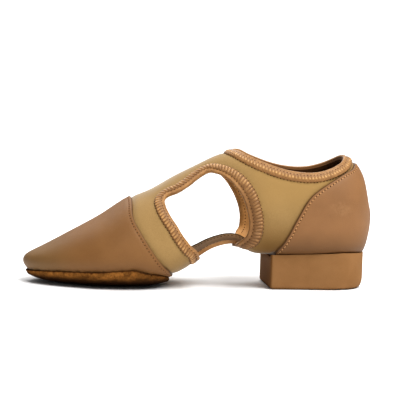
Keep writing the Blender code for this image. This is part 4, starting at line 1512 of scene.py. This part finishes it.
@dataclass
class LeatherPanel:
    """Leather that laps over the neoprene along a folded, stitched edge."""

    name: str
    node: str
    slot: str
    edge: Places
    area: Places
    leather: Material
    thread: Material
    thickness: float = 1.0
    gap: float = 0.35
    wall: float = 2.0
    lap: float = 8.8
    lap_lift: float = 0.05
    edge_lift: float = 0.1
    edge_round: float = 0.75
    # Width of the dark cut edge, partly its own colour and partly painted shadow.
    edge_dark_and_shadow_width: float = 0.42
    bead_row: float = 1.1
    bead_height: float = 0.1
    bead_width: float = 0.45
    stitch_row: float = 2.1
    stitch_pitch: float = 2.5
    stitch_sink: float = 0.22
    stitch_share: float = 0.62
    stitch_radius: float = 0.34
    stitch_jitter: float = 0.08
    hole: Rod = Rod(1.25, 0.52, 0.45)
    hole_jitter: float = 0.2
    groove: float = 0.18
    groove_width: float = 0.5
    swell: float = 0.08
    swell_offset: float = 2.2
    swell_width: float = 1.6
    tuck: float = 0.0
    tuck_width: float = 1.9
    tuck_start: float = 3.5
    tuck_fade: float = 8.0
    bulge: float = 0.35
    bulge_offset: float = 6.0
    bulge_width: float = 4.0

    def build(self, bench: Bench) -> None:
        """Build the panel.

        Args:
            bench: What it is made with.
        """
        net, sole = bench.net, bench.lines.sole
        keep = inside(net.middles, self.area)
        away = distance_to_line(net.points, self.edge)
        top = self.gap + self.thickness
        outer = self.edge_lift + (top - self.edge_lift) * rolled(away, self.edge_round)
        outer += self.bead_height * hump(away, self.bead_row, self.bead_width)
        outer -= self.groove * hump(away, self.stitch_row, self.groove_width)
        outer += self.swell * hump(away, self.stitch_row + self.swell_offset, self.swell_width)
        if self.tuck > 0.0:
            beside = distance_to_line(net.points, sole, True)
            clear = np.clip((away - self.tuck_start) / self.tuck_fade, 0.0, 1.0)
            drawn_in = self.tuck * hump(beside, 0.0, self.tuck_width)
            drawn_in -= self.bulge * hump(beside, self.bulge_offset, self.bulge_width)
            outer -= np.where(inside(net.places, sole), 0.0, clear * drawn_in)
        deep = np.vstack([moved_line(self.edge, self.lap, self.area), self.area[-2:]])
        inner = np.where(inside(net.places, deep), -self.wall, self.lap_lift)
        # The seam attribute darkens the cut edge, partly its own colour and partly painted shadow.
        piece = shell(self.name, net, keep, outer, inner, self.leather, bench.finishes.lining,
                      {"seam": hump(away, 0.0, self.edge_dark_and_shadow_width)})
        hand_over(piece, self.slot, self.node)

    def sew(self, bench: Bench) -> None:
        """Set the stitches and needle holes along the edge.

        Args:
            bench: What they are made with.
        """
        row = moved_line(self.edge, self.stitch_row, self.area)
        lift = self.gap + self.thickness - self.stitch_sink
        stitch = Rod(self.stitch_share * self.stitch_pitch, self.stitch_radius).pattern("stitch_pattern")
        dot = self.hole.pattern("hole_pattern")
        stitches = bench.tree.spread(self.node + "_stitches", spots_on(row, lift, self.stitch_pitch), stitch,
                                     self.thread, jitter=self.stitch_jitter)
        between = even_line(row, 0.5 * self.stitch_pitch)[1::2]
        holes = bench.tree.spread(self.node + "_needle_holes", spots_at(between, lift), dot,
                                  bench.finishes.hole, jitter=self.hole_jitter)
        for piece in (stitches, holes):
            hand_over(piece, self.slot)
        for pattern in (stitch, dot):
            bpy.data.objects.remove(pattern)


class Fold(NamedTuple):
    """An edge to fold over: its places, steps of 1 mm on to the neoprene, and shares of the full height."""

    line: Places
    step: Places
    full: np.ndarray
    closed: bool


@dataclass
class EdgeBinding:
    """Ribbed ribbon folded over an edge of the neoprene, with a sewn bead along the fold."""

    name: str
    node: str
    width: float
    # Darker copy of the ribbon between the ribs, as painted shade.
    shaded_ground: Material
    ribbing: Material
    within: Material
    rib_from: float = 2.05
    rib_to: float = 7.7
    stitch_row: float = 1.7
    wall: float = 2.0
    inner_gap: float = 0.9
    inner_cover: float = 0.25
    inner_hem: float = 0.4
    inner_sink: float = 0.02
    inner_width: float = 7.5
    inner_row: float = 2.6
    crown: float = 1.15
    hem: float = 0.4
    hem_edge: float = 0.25
    hem_sink: float = 0.1
    hem_row: float = 0.15
    valley: float = 0.7
    bead_centre: float = -0.05
    bead_width: float = 0.9
    bead_height: float = 1.3
    bead_drop: float = 0.55
    fold: float = 0.1
    band_shares: tuple[float, ...] = (0.06, 0.16, 0.3, 0.45, 0.6, 0.74, 0.86, 0.95, 1.0)
    bead_turns_deg: tuple[int, ...] = (115, 85, 55, 25, -5, -35, -65)
    inner_shares: tuple[float, ...] = (0.08, 0.3, 0.52, 0.74, 0.94)
    seat_shares: tuple[float, ...] = (1.0, 0.66, 0.33)
    end_fade: Span = (0.7, 1.45)
    end_share: float = 0.2
    sewn_share: float = 0.6
    hole: Rod = Rod(0.9, 0.36, 0.4)
    hole_sink: float = 0.02
    hole_rise: float = 0.05
    hole_jitter: float = 0.15
    ring_step: float = 1.1
    rib_pitch: float = 2.4
    rib_share: float = 0.6
    rib_height: float = 0.32
    rib_tip: float = 0.2
    rib_stations: int = 9
    rib_sides: int = 6
    # Painted highlight on the rib: its share at the inner end, where it peaks, and its share at the outer
    # end.
    crest: tuple[float, float, float] = (0.3, 0.85, 1.0)
    slant_deg: float = 16.0
    jitter: float = 0.06

    def height(self, inward: float) -> float:
        """Lift of the ribbed band over the neoprene.

        Args:
            inward: Distance in from the folded edge.

        Returns:
            The lift in millimetres.
        """
        middle = 0.5 * (self.width + self.stitch_row)
        half = 0.5 * (self.width - self.stitch_row)
        share = min(1.0, abs(inward - middle) / half)
        low = self.hem if inward > middle else self.valley
        return low + (self.crown - low) * math.sqrt(max(0.0, 1.0 - share ** 2.2))

    def section(self) -> list[Corner]:
        """Corners of the folded section, from its outer hem over the edge to its inner hem and back.

        Returns:
            The corners in order.
        """
        corners = [Corner(self.width, -self.hem_sink), Corner(self.width, self.hem_edge)]
        for share in self.band_shares:
            inward = self.width + (self.stitch_row - self.width) * share
            corners.append(Corner(inward, self.height(inward)))
        for degrees in self.bead_turns_deg:
            turn = math.radians(degrees)
            corners.append(Corner(self.bead_centre - self.bead_width * math.cos(turn),
                                  -self.bead_drop + self.bead_height * math.sin(turn)))
        seat = -self.wall + self.inner_sink
        under = -self.wall - self.inner_gap
        corners += [Corner(share * self.inner_width, under - self.inner_cover) for share in self.inner_shares]
        corners += [Corner(self.inner_width, under + self.inner_hem)]
        corners += [Corner(share * self.inner_width, seat) for share in self.seat_shares]
        return corners + [Corner(-self.fold, seat), Corner(-self.fold, 0.0)]

    def fade(self, line: Places) -> np.ndarray:
        """Share of the binding's height at each place, which sinks towards its ends under the arch."""
        low, high = self.end_fade
        return self.end_share + (1.0 - self.end_share) * eased((np.abs(line[:, 1]) - low) / (high - low))

    def inward_steps(self, line: Places, hole: Places, closed: bool) -> Places:
        """Steps of one millimetre from the edge on to the neoprene, evened along the line.

        Args:
            line: Places of the folded edge.
            hole: Closed outline of the opening.
            closed: Whether the line closes on itself.

        Returns:
            One pair of changes for each place.
        """
        step = LAST.step_across(line, closed)
        step[inside(line + step, hole)] *= -1.0
        return np.mean([step[neighbours(len(step), shift, closed)] for shift in (-2, -1, 0, 1, 2)], axis=0)

    def build(self, path: Places, hole: Places, closed: bool, bench: Bench) -> None:
        """Build the ribbon, its ribs and its stitches.

        Args:
            path: Edge that it is folded over.
            hole: Closed outline of the opening.
            closed: Whether the path closes on itself.
            bench: What it is made with.
        """
        line = even_line(path, self.ring_step, closed)
        step = self.inward_steps(line, hole, closed)
        if not closed:
            step *= band_share(LAST.points(line))[:, None]
        full = np.ones(len(line)) if closed else self.fade(line)
        corners = self.section()
        rings = [LAST.lifted(line + corner.inward * step, corner.lift * (full if corner.lift > 0.0 else 1.0))
                 for corner in corners]
        count, sides = len(line), len(corners)
        ribbed = [corner.inward >= self.stitch_row - 0.01 and corner.lift > 0.0 for corner in corners]
        lined = [corner.lift < -0.5 * self.wall for corner in corners]
        band = [1 if ribbed[k - 1] and ribbed[k] else 2 if lined[k - 1] and lined[k] else 0
                for k in np.arange(1, sides + 1) % sides]
        faces = tube_faces(count, sides, closed)
        slots = band * count if closed else band * (count - 1) + [0, 0]
        piece = finish_mesh(self.name, np.stack(rings, axis=1).reshape(-1, 3), faces,
                            [bench.finishes.binding, self.shaded_ground, self.within], slots, 60.0)
        hand_over(face_outwards(piece), "binding", self.node)
        fold = Fold(line, step, full, closed)
        self.rib(fold, bench)
        self.sew(fold, bench)

    def rib_pattern(self, middle: float, half: float) -> Piece:
        """One rib along X, which carries a painted highlight along it.

        Args:
            middle: Distance of the rib's middle from the folded edge.
            half: Half of its length.

        Returns:
            The pattern.
        """
        stations = np.linspace(-half, half, self.rib_stations)
        half_width = 0.5 * self.rib_share * self.rib_pitch
        rings = []
        for x in stations:
            size = self.rib_tip + (1.0 - self.rib_tip) * math.sqrt(max(0.0, 1.0 - (x / half) ** 4))
            rise = self.height(middle + x) - self.height(middle)
            rings.append(oval(x, half_width * size, self.rib_height * size, self.rib_sides, rise))
        pattern = finish_mesh("rib_pattern", np.vstack(rings), tube_faces(len(rings), self.rib_sides), [],
                              sharp_deg=70.0)
        # Painted highlight along the rib, which the rib's material reads.
        start, peak, end = self.crest
        crest = np.interp(0.5 + 0.5 * stations / half, (0.0, peak, 1.0), (start, 1.0, end))
        set_attribute(pattern, "crest", np.repeat(crest, self.rib_sides))
        return face_outwards(pattern)

    def rib(self, fold: Fold, bench: Bench) -> None:
        """Set the ribs across the band.

        Args:
            fold: Edge that the binding is folded over.
            bench: What they are made with.
        """
        middle = 0.5 * (self.rib_from + self.rib_to)
        pattern = self.rib_pattern(middle, 0.5 * (self.rib_to - self.rib_from))
        centre = fold.line + middle * fold.step
        lift = self.height(middle) * fold.full
        points = LAST.lifted(centre, lift)
        outward = LAST.lifted(fold.line + (middle + 1.0) * fold.step, lift) - points
        rows = np.hstack([points, LAST.axes(centre)[2], outward])
        if fold.closed:
            rows = np.vstack([rows, rows[:1]])
        way = travelled(rows[:, :3])
        count = round(way[-1] / self.rib_pitch)
        goals = way[-1] * (np.arange(count) + 0.5) / count
        rows = np.stack([np.interp(goals, way, column) for column in rows.T], axis=1)
        spots = Spots(rows[:, :3], rows[:, 3:6], rows[:, 6:])
        piece = bench.tree.spread(self.name + "_ribs", spots, pattern, self.ribbing,
                                  math.radians(self.slant_deg), self.jitter)
        hand_over(piece, "binding")
        bpy.data.objects.remove(pattern)

    def sew(self, fold: Fold, bench: Bench) -> None:
        """Set the needle holes along the outer hem, along the bead and inside.

        Args:
            fold: Edge that the binding is folded over.
            bench: What they are made with.
        """
        dot = self.hole.pattern("hole_pattern")
        sewn = fold.full > self.sewn_share
        line, step = fold.line[sewn], fold.step[sewn]
        rows = [Corner(self.width + self.hem_row, -self.hole_sink),
                Corner(self.stitch_row, self.height(self.stitch_row) + self.hole_rise)]
        if self.inner_row > 0.0:
            rows.append(Corner(self.inner_row, -self.wall - self.inner_gap - self.inner_cover))
        parts = [spots_on(line + row.inward * step, row.lift, self.rib_pitch, fold.closed) for row in rows]
        spots = Spots(*(np.vstack(part) for part in zip(*parts)))
        piece = bench.tree.spread(self.name + "_needle_holes", spots, dot, bench.finishes.hole,
                                  jitter=self.hole_jitter)
        hand_over(piece, "binding")
        bpy.data.objects.remove(dot)


@dataclass
class SuedeSole:
    """Suede forefoot sole with a proud, brushed edge."""

    seat: float = 1.7
    seat_sink: float = 0.12
    thickness: float = 2.2
    edge_thickness: float = 0.5
    edge_radius: float = 1.3
    ripple: float = 0.35
    ripple_reach: float = 4.0

    def build(self, bench: Bench) -> None:
        """Build the sole.

        Args:
            bench: What it is made with.
        """
        net, outline, suede = bench.net, bench.lines.sole, bench.finishes.suede
        keep = inside(net.middles, outline)
        away = distance_to_line(net.points, outline, True)
        x, y = net.points[:, 0], net.points[:, 1]
        wave = np.sin(x / 5.3) * np.cos(y / 9.0) + 0.6 * np.sin(x / 2.1 + 0.4 * y)
        proud = rolled(away, self.edge_radius)
        outer = self.seat + self.edge_thickness + (self.thickness - self.edge_thickness) * proud
        outer += self.ripple * wave * hump(away, 0.0, self.ripple_reach)
        inner = np.full(len(net.points), self.seat - self.seat_sink)
        piece = shell("suede_sole", net, keep, outer, inner, suede, suede)
        mesh = piece.data
        points = np.empty(len(mesh.vertices) * 3, dtype=np.float32)
        mesh.vertices.foreach_get("co", points)
        points[2::3] = np.maximum(points[2::3], 0.0)
        mesh.vertices.foreach_set("co", points)
        used = np.unique(net.triangles[keep])
        # The proud attribute lets the material darken the patch's edge, partly its own dark edge and partly
        # painted shadow in the groove.
        set_attribute(piece, "proud", np.concatenate([proud[used], np.zeros(len(used))]))
        mesh.update()
        hand_over(piece, "suede", "sole_patch")


@dataclass(frozen=True)
class RoundEdge:
    """How far a lower edge is drawn in at the floor, and the height where it ends."""

    inset: float
    height: float

    def at(self, z: np.ndarray) -> np.ndarray:
        """Distance that the edge is drawn in at each height."""
        return self.inset * (1.0 - rolled(z, self.height))


@dataclass
class BlockHeel:
    """Low block heel with rounded lower edges and a rim that rises towards the counter."""

    front: float = 48.5
    back: float = 118.8
    half_width: float = 26.6
    height: float = 21.8
    rim_slope: float = 0.056
    seat_slope: float = 0.032
    rim: float = 5.0
    rim_round: float = 0.35
    front_edge: RoundEdge = RoundEdge(1.5, 1.8)
    back_edge: RoundEdge = RoundEdge(3.6, 7.5)
    side_edge: RoundEdge = RoundEdge(1.6, 2.4)
    taper: float = 0.4
    side_rise: float = 1.5
    front_rise: float = 0.9
    rise_from: float = 17.0
    rise_to: float = 25.0
    rise_end: float = 100.0
    back_dip: float = 0.4
    breast_rise: float = 0.8
    breast_reach: float = 3.0
    level: float = 8.0
    round_start: float = 90.0
    round_power: float = 0.95
    corner: float = 1.8
    round_steps: int = 48
    corner_steps: int = 6
    side_steps: int = 18
    breast_steps: int = 22
    level_steps: int = 22
    wall_shares: tuple[float, ...] = (0.25, 0.5, 0.75)
    rim_shares: tuple[float, ...] = (1.0, 0.5, 0.15, 0.0)

    def outline(self, front: float, back: float, half_width: float) -> Points:
        """Outline at one level: a straight front with small round corners, and a round back.

        Args:
            front: Place of the front face.
            back: Place of the back.
            half_width: Half of the width.

        Returns:
            Points of the outline, from the lateral front corner round the back and along the front.
        """
        turns = 0.5 * math.pi * np.arange(self.corner_steps + 1) / self.corner_steps
        corner = np.stack([front + self.corner * (1 - np.sin(turns)),
                           -half_width + self.corner * (1 - np.cos(turns))], axis=1)[::-1]
        side_x = np.linspace(front + self.corner, self.round_start, self.side_steps)[1:-1]
        side = np.stack([side_x, np.full(len(side_x), -half_width)], axis=1)
        sweep = math.pi * (np.arange(self.round_steps + 1) / self.round_steps - 0.5)
        reach = (back - self.round_start) * np.abs(np.cos(sweep)) ** self.round_power
        rear = np.stack([self.round_start + reach, half_width * np.sin(sweep)], axis=1)
        mirror = np.array([1.0, -1.0])
        breast_y = np.linspace(half_width - self.corner, self.corner - half_width, self.breast_steps)[1:-1]
        breast = np.stack([np.full(len(breast_y), front), breast_y], axis=1)
        return np.vstack([corner, side, rear, side[::-1] * mirror, corner[::-1] * mirror, breast])

    def ring(self, z: float, slope: float, inset: float, rise: float) -> Points:
        """Ring of points at one level.

        Args:
            z: Height of the level at the front.
            slope: Rise of the level towards the back.
            inset: How far the whole level is drawn in.
            rise: Share of the rise of the rim's sides.

        Returns:
            The points.
        """
        narrow = self.taper * (1.0 - z / self.height) + self.side_edge.at(z) + inset
        plan = self.outline(self.front + self.front_edge.at(z) + inset,
                            self.back - self.back_edge.at(z) - inset, self.half_width - narrow)
        x = plan[:, 0]
        out = np.hypot(plan[:, 1], np.clip(x - self.round_start, 0.0, None))
        ahead = np.clip((self.round_start - x) / (self.round_start - self.front), 0.0, 1.0)
        behind = np.clip((x - self.rise_end) / (self.back - self.rise_end), 0.0, 1.0)
        cup = (self.side_rise + self.front_rise * ahead) * (1.0 - behind)
        cup *= eased((out - self.rise_from) / (self.rise_to - self.rise_from))
        lip = self.breast_rise * np.clip(1.0 - (x - self.front) / self.breast_reach, 0.0, 1.0)
        cup = rise * (np.maximum(cup, lip) - self.back_dip * behind)
        return np.column_stack([plan, z + slope * (x - self.front) + cup])

    def build(self, bench: Bench) -> None:
        """Build the heel.

        Args:
            bench: What it is made with.
        """
        turns = 0.5 * math.pi * np.arange(self.level_steps + 1) / self.level_steps
        rings = [self.ring(z, 0.0, 0.0, 0.0) for z in self.level * (1.0 - np.cos(turns))]
        for share in self.wall_shares:
            z = self.level + share * (self.height - self.level)
            rings.append(self.ring(z, share * self.rim_slope, 0.0, share))
        for share in self.rim_shares:
            sunk = self.rim_round * (1.0 - math.sqrt(1.0 - share ** 2))
            rings.append(self.ring(self.height - sunk, self.rim_slope, self.rim_round * (1.0 - share), 1.0))
        rings.append(self.ring(self.height, self.seat_slope, self.rim, 0.0))
        piece = finish_mesh("block_heel", np.vstack(rings), tube_faces(len(rings), len(rings[0])),
                            [bench.finishes.heel], sharp_deg=50.0)
        hand_over(face_outwards(piece), "heel", "heel_block")


@dataclass
class Insoles:
    """The two insole pads."""

    seat: float = -2.3
    thickness: float = 2.0
    edge_thickness: float = 0.6
    edge_radius: float = 1.6

    def build(self, bench: Bench) -> None:
        """Build both pads.

        Args:
            bench: What they are made with.
        """
        net, lines, cloth = bench.net, bench.lines, bench.finishes.insole
        for name, node, outline in (("forefoot_insole", "insole_forefoot", lines.forefoot_pad),
                                    ("heel_insole", "insole_heel", lines.heel_pad)):
            keep = inside(net.middles, outline)
            proud = rolled(distance_to_line(net.points, outline, True), self.edge_radius)
            inner = self.seat - self.edge_thickness - (self.thickness - self.edge_thickness) * proud
            outer = np.full(len(net.points), self.seat)
            hand_over(shell(name, net, keep, outer, inner, cloth, cloth), "insole", node)


@dataclass
class ArchStrap:
    """Band under the arch with a turned bead along both edges."""

    front: float = -12.0
    back: float = 42.0
    half_width: float = 17.0
    seat: float = -2.35
    thickness: float = 2.0
    edge: float = 1.25
    bead_inset: float = 0.9
    bead_half_width: float = 1.3
    bead_half_height: float = 1.5
    bead_sides: int = 10
    stitch_row: float = 6.5
    stitch_pitch: float = 2.3
    hole: Rod = Rod(1.2, 0.45, 0.5)
    hole_rise: float = 0.05
    sag: float = 2.2
    sag_power: float = 0.75
    free_span: Span = (-3.0, 29.0)
    steps: int = 90
    bands: int = 26

    def run(self, reach: float, above: float) -> Points:
        """Points along the band, at a reach to the medial side of its middle and above its underside."""
        line = self.line(reach)
        return LAST.lifted(line, self.lift(line, reach, above))

    def line(self, reach: float) -> Places:
        """Places along the band at one distance from its middle.

        Args:
            reach: Distance to the medial side of the band's middle.

        Returns:
            Places from front to back.
        """
        side = Side.MEDIAL if reach > 0 else Side.LATERAL
        x = np.linspace(self.front, self.back, self.steps)
        return LAST.places_at_share(x, abs(reach) / LAST.half_width(LAST.along_at(x), side), side)

    def lift(self, line: Places, reach: float, above: float) -> np.ndarray:
        """Lift of a line on the band, which sags towards its medial edge.

        Args:
            line: Places of the line.
            reach: Distance of the line to the medial side of the band's middle.
            above: Height of the line over the band's underside.

        Returns:
            One lift for each place.
        """
        start, end = self.free_span
        t = np.clip((LAST.points(line)[:, 0] - start) / (end - start), 0.0, 1.0)
        sag = self.sag * max(0.0, reach / self.half_width) * np.sin(math.pi * t ** self.sag_power)
        return self.seat - above + sag

    def tube(self, name: str, runs: Sequence[Points], finish: Material,
             sharp_deg: float) -> Piece:
        """Closed piece along the strap, from lines of points in order round its section."""
        points = np.stack(runs, axis=1).reshape(-1, 3)
        return face_outwards(finish_mesh(name, points, tube_faces(self.steps, len(runs)), [finish],
                                         sharp_deg=sharp_deg))

    def build(self, bench: Bench) -> None:
        """Build the band, its beads and its stitches.

        Args:
            bench: What they are made with.
        """
        finishes = bench.finishes
        reaches = np.linspace(self.edge - self.half_width, self.half_width - self.edge, self.bands)
        runs = [self.run(reach, 0.0) for reach in reaches]
        runs += [self.run(reach, self.thickness) for reach in reaches[::-1]]
        hand_over(self.tube("arch_band", runs, finishes.strap, 40.0), "strap", "arch_strap")
        dot = self.hole.pattern("hole_pattern")
        for side, finish in ((Side.LATERAL, finishes.binding), (Side.MEDIAL, finishes.strap_edge)):
            word = side.name.lower()
            hand_over(self.tube(f"strap_bead_{word}", self.bead(side), finish, 60.0), "strap")
            reach = side.value * (self.half_width - self.stitch_row)
            row = even_line(self.line(reach), self.stitch_pitch)
            sewn = spots_at(row, self.lift(row, reach, self.thickness + self.hole_rise))
            hand_over(bench.tree.spread(f"strap_needle_holes_{word}", sewn, dot, finishes.hole), "strap")
        bpy.data.objects.remove(dot)

    def bead(self, side: Side) -> list[Points]:
        """Lines of the turned bead along one edge.

        Args:
            side: Side of the shoe.

        Returns:
            Lines in order round the bead.
        """
        runs = []
        for turn in turns_of(self.bead_sides):
            reach = self.half_width - self.bead_inset + self.bead_half_width * math.cos(turn)
            above = 0.5 * self.thickness - self.bead_half_height * math.sin(turn)
            runs.append(self.run(side.value * reach, above))
        return runs


@dataclass
class Studio:
    """Pale floor, soft light and the camera at the photo's angle."""

    target: tuple[float, float, float] = (0.0002, 0.0, 0.0597)
    azimuth_deg: float = -6.5
    elevation_deg: float = 4.5
    roll_deg: float = 1.65
    distance: float = 1.1
    pixels_per_mm: float = 1.408
    frame_pixels: float = 400.0
    sensor: float = 36.0
    floor: float = 30.0
    floor_drop: float = 0.2
    ambient: float = 0.33
    key: float = 3.4
    key_from: tuple[float, float, float] = (0.38, -0.42, 0.82)
    key_spread_deg: float = 45.0
    overhead: float = 7.5
    overhead_size: float = 0.9
    overhead_at: tuple[float, float, float] = (-0.05, 0.6, 0.85)

    def build(self) -> None:
        """Build the studio."""
        view = bpy.context.scene.view_settings
        view.view_transform = "Standard"
        view.look = "Medium High Contrast"
        self._floor()
        self._world()
        self._lights()
        self._camera()

    @staticmethod
    def _aimed(name: str, data: bpy.types.ID, place: Vector, direction: Vector) -> Piece:
        """Light or camera that looks in a direction.

        Args:
            name: Name of the object.
            data: Light or camera.
            place: Where it stands, in metres.
            direction: Where it looks.

        Returns:
            The new object, linked to the scene.
        """
        made = bpy.data.objects.new(name, data)
        made.location = place
        made.rotation_mode = "QUATERNION"
        made.rotation_quaternion = direction.to_track_quat("-Z", "Y")
        bpy.context.scene.collection.objects.link(made)
        return made

    def _lights(self) -> None:
        """Wide key light from the front, and a soft panel over and behind the shoe."""
        sun = bpy.data.lights.new("key", "SUN")
        sun.energy = self.key
        sun.angle = math.radians(self.key_spread_deg)
        self._aimed("key", sun, Vector(), -Vector(self.key_from))
        panel = bpy.data.lights.new("overhead", "AREA")
        panel.size = self.overhead_size
        panel.energy = self.overhead
        place = Vector(self.overhead_at)
        self._aimed("overhead", panel, place, Vector(self.target) - place)

    def _camera(self) -> None:
        """Camera at the photo's angle and scale."""
        a, e = math.radians(self.azimuth_deg), math.radians(self.elevation_deg)
        direction = Vector((math.sin(a) * math.cos(e), -math.cos(a) * math.cos(e), math.sin(e)))
        data = bpy.data.cameras.new("camera")
        data.sensor_width = self.sensor
        data.lens = self.sensor * self.distance / MILLIMETRE * self.pixels_per_mm / self.frame_pixels
        camera = self._aimed("camera", data, Vector(self.target) + self.distance * direction, -direction)
        roll = Quaternion((0.0, 0.0, 1.0), math.radians(self.roll_deg))
        camera.rotation_quaternion = camera.rotation_quaternion @ roll
        bpy.context.scene.camera = camera

    def _floor(self) -> None:
        """Pale floor under the sole."""
        half = 0.5 * self.floor / MILLIMETRE
        corners = ((-half, -half), (half, -half), (half, half), (-half, half))
        points = np.array([(x, y, -self.floor_drop) for x, y in corners])
        finish_mesh("floor", points, [(0, 1, 2, 3)], [FloorFinish().material()])

    def _world(self) -> None:
        """White backdrop that gives the shoe only part of its light."""
        world = bpy.data.worlds.new("studio")
        world.use_nodes = True
        world.node_tree.nodes.clear()
        graph = Graph(world.node_tree)
        seen = Value(graph, graph.node("ShaderNodeLightPath", {}, {}).outputs["Is Camera Ray"])
        strength = self.ambient + (1.0 - self.ambient) * seen
        shade = graph.node("ShaderNodeBackground", {}, {"Color": (1.0, 1.0, 1.0), "Strength": strength})
        graph.node("ShaderNodeOutputWorld", {}, {"Surface": shade.outputs[0]})
        bpy.context.scene.world = world


def window_path(lines: StyleLines, side: Side, strap_half: float = 8.0) -> Places:
    """Stretch of the cut-outs' edge on one side, from the arch strap in front to the strap behind.

    Args:
        lines: Style lines.
        side: Side of the shoe.
        strap_half: Distance from the middle within which the strap covers the edge.

    Returns:
        The open line.
    """
    loop = lines.window
    turned = side.value * loop[:, 1]
    clear = side.value * LAST.points(loop)[:, 1] > strap_half
    keep = (turned > 0.5 * math.pi) | (clear & (turned > 0.0))
    start = int(np.flatnonzero(keep & ~np.roll(keep, 1))[0])
    return np.roll(loop, -start, axis=0)[np.roll(keep, -start)]


def lay_net(lines: StyleLines) -> FineNet:
    """Net that follows every style line, with close rows along the leather's edges.

    Args:
        lines: Style lines.

    Returns:
        The net.
    """
    drawn = [lines.collar_lateral, lines.collar_far]
    for edge, area in ((lines.toe_edge, lines.toe_area), (lines.counter_edge, lines.counter_area)):
        drawn += [edge, *(moved_line(edge, distance, area) for distance in SEAM_ROWS)]
    net = FineNet(NET_SPACING, drawn, [lines.window, lines.sole, lines.forefoot_pad, lines.heel_pad])
    LOG.info("net: %d places, %d triangles", len(net.places), len(net.triangles))
    return net


def main() -> None:
    """Build the studio and every piece of the shoe."""
    logging.basicConfig(level=logging.INFO, format="%(message)s")
    Studio().build()
    finishes = Finishes()
    lines = StyleLines(LINE_SPACING)
    bench = Bench(lay_net(lines), lines, RepeatTree(), finishes)
    Upper().build(bench)
    for panel in (LeatherPanel("leather_toe", "toe_cap", "toe_leather", lines.toe_edge, lines.toe_area,
                               finishes.toe, finishes.toe_thread, tuck=0.75),
                  LeatherPanel("leather_counter", "heel_counter", "counter_leather", lines.counter_edge,
                               lines.counter_area, finishes.counter, finishes.thread)):
        panel.build(bench)
        panel.sew(bench)
    # The collar ribbon's ground between the ribs takes a darker copy of the ribbon as painted shade, and its
    # inner leg takes the darker lining cloth as painted shade inside the collar.
    collar = EdgeBinding("collar_ribbon", "collar_binding", 6.7, finishes.collar_ground, finishes.collar_rib,
                         finishes.lining, rib_from=2.2, rib_to=5.3, stitch_row=1.5, crown=1.1,
                         inner_width=3.4, inner_row=0.0, crest=(0.15, 0.55, 0.3))
    collar.build(lines.collar_loop, lines.collar_loop, True, bench)
    for side in Side:
        word = side.name.lower()
        # The inner face takes the lighter copy of the ribbon, as painted light inside the shoe; the ground
        # between the ribs takes the darker copy, as painted shade.
        ribbon = EdgeBinding(f"window_ribbon_{word}", f"window_binding_{word}", 8.0, finishes.shaded_ground,
                             finishes.rib, finishes.binding_inside)
        ribbon.build(window_path(lines, side), lines.window, False, bench)
    SuedeSole().build(bench)
    BlockHeel().build(bench)
    Insoles().build(bench)
    ArchStrap().build(bench)


if __name__ == "__main__":
    main()
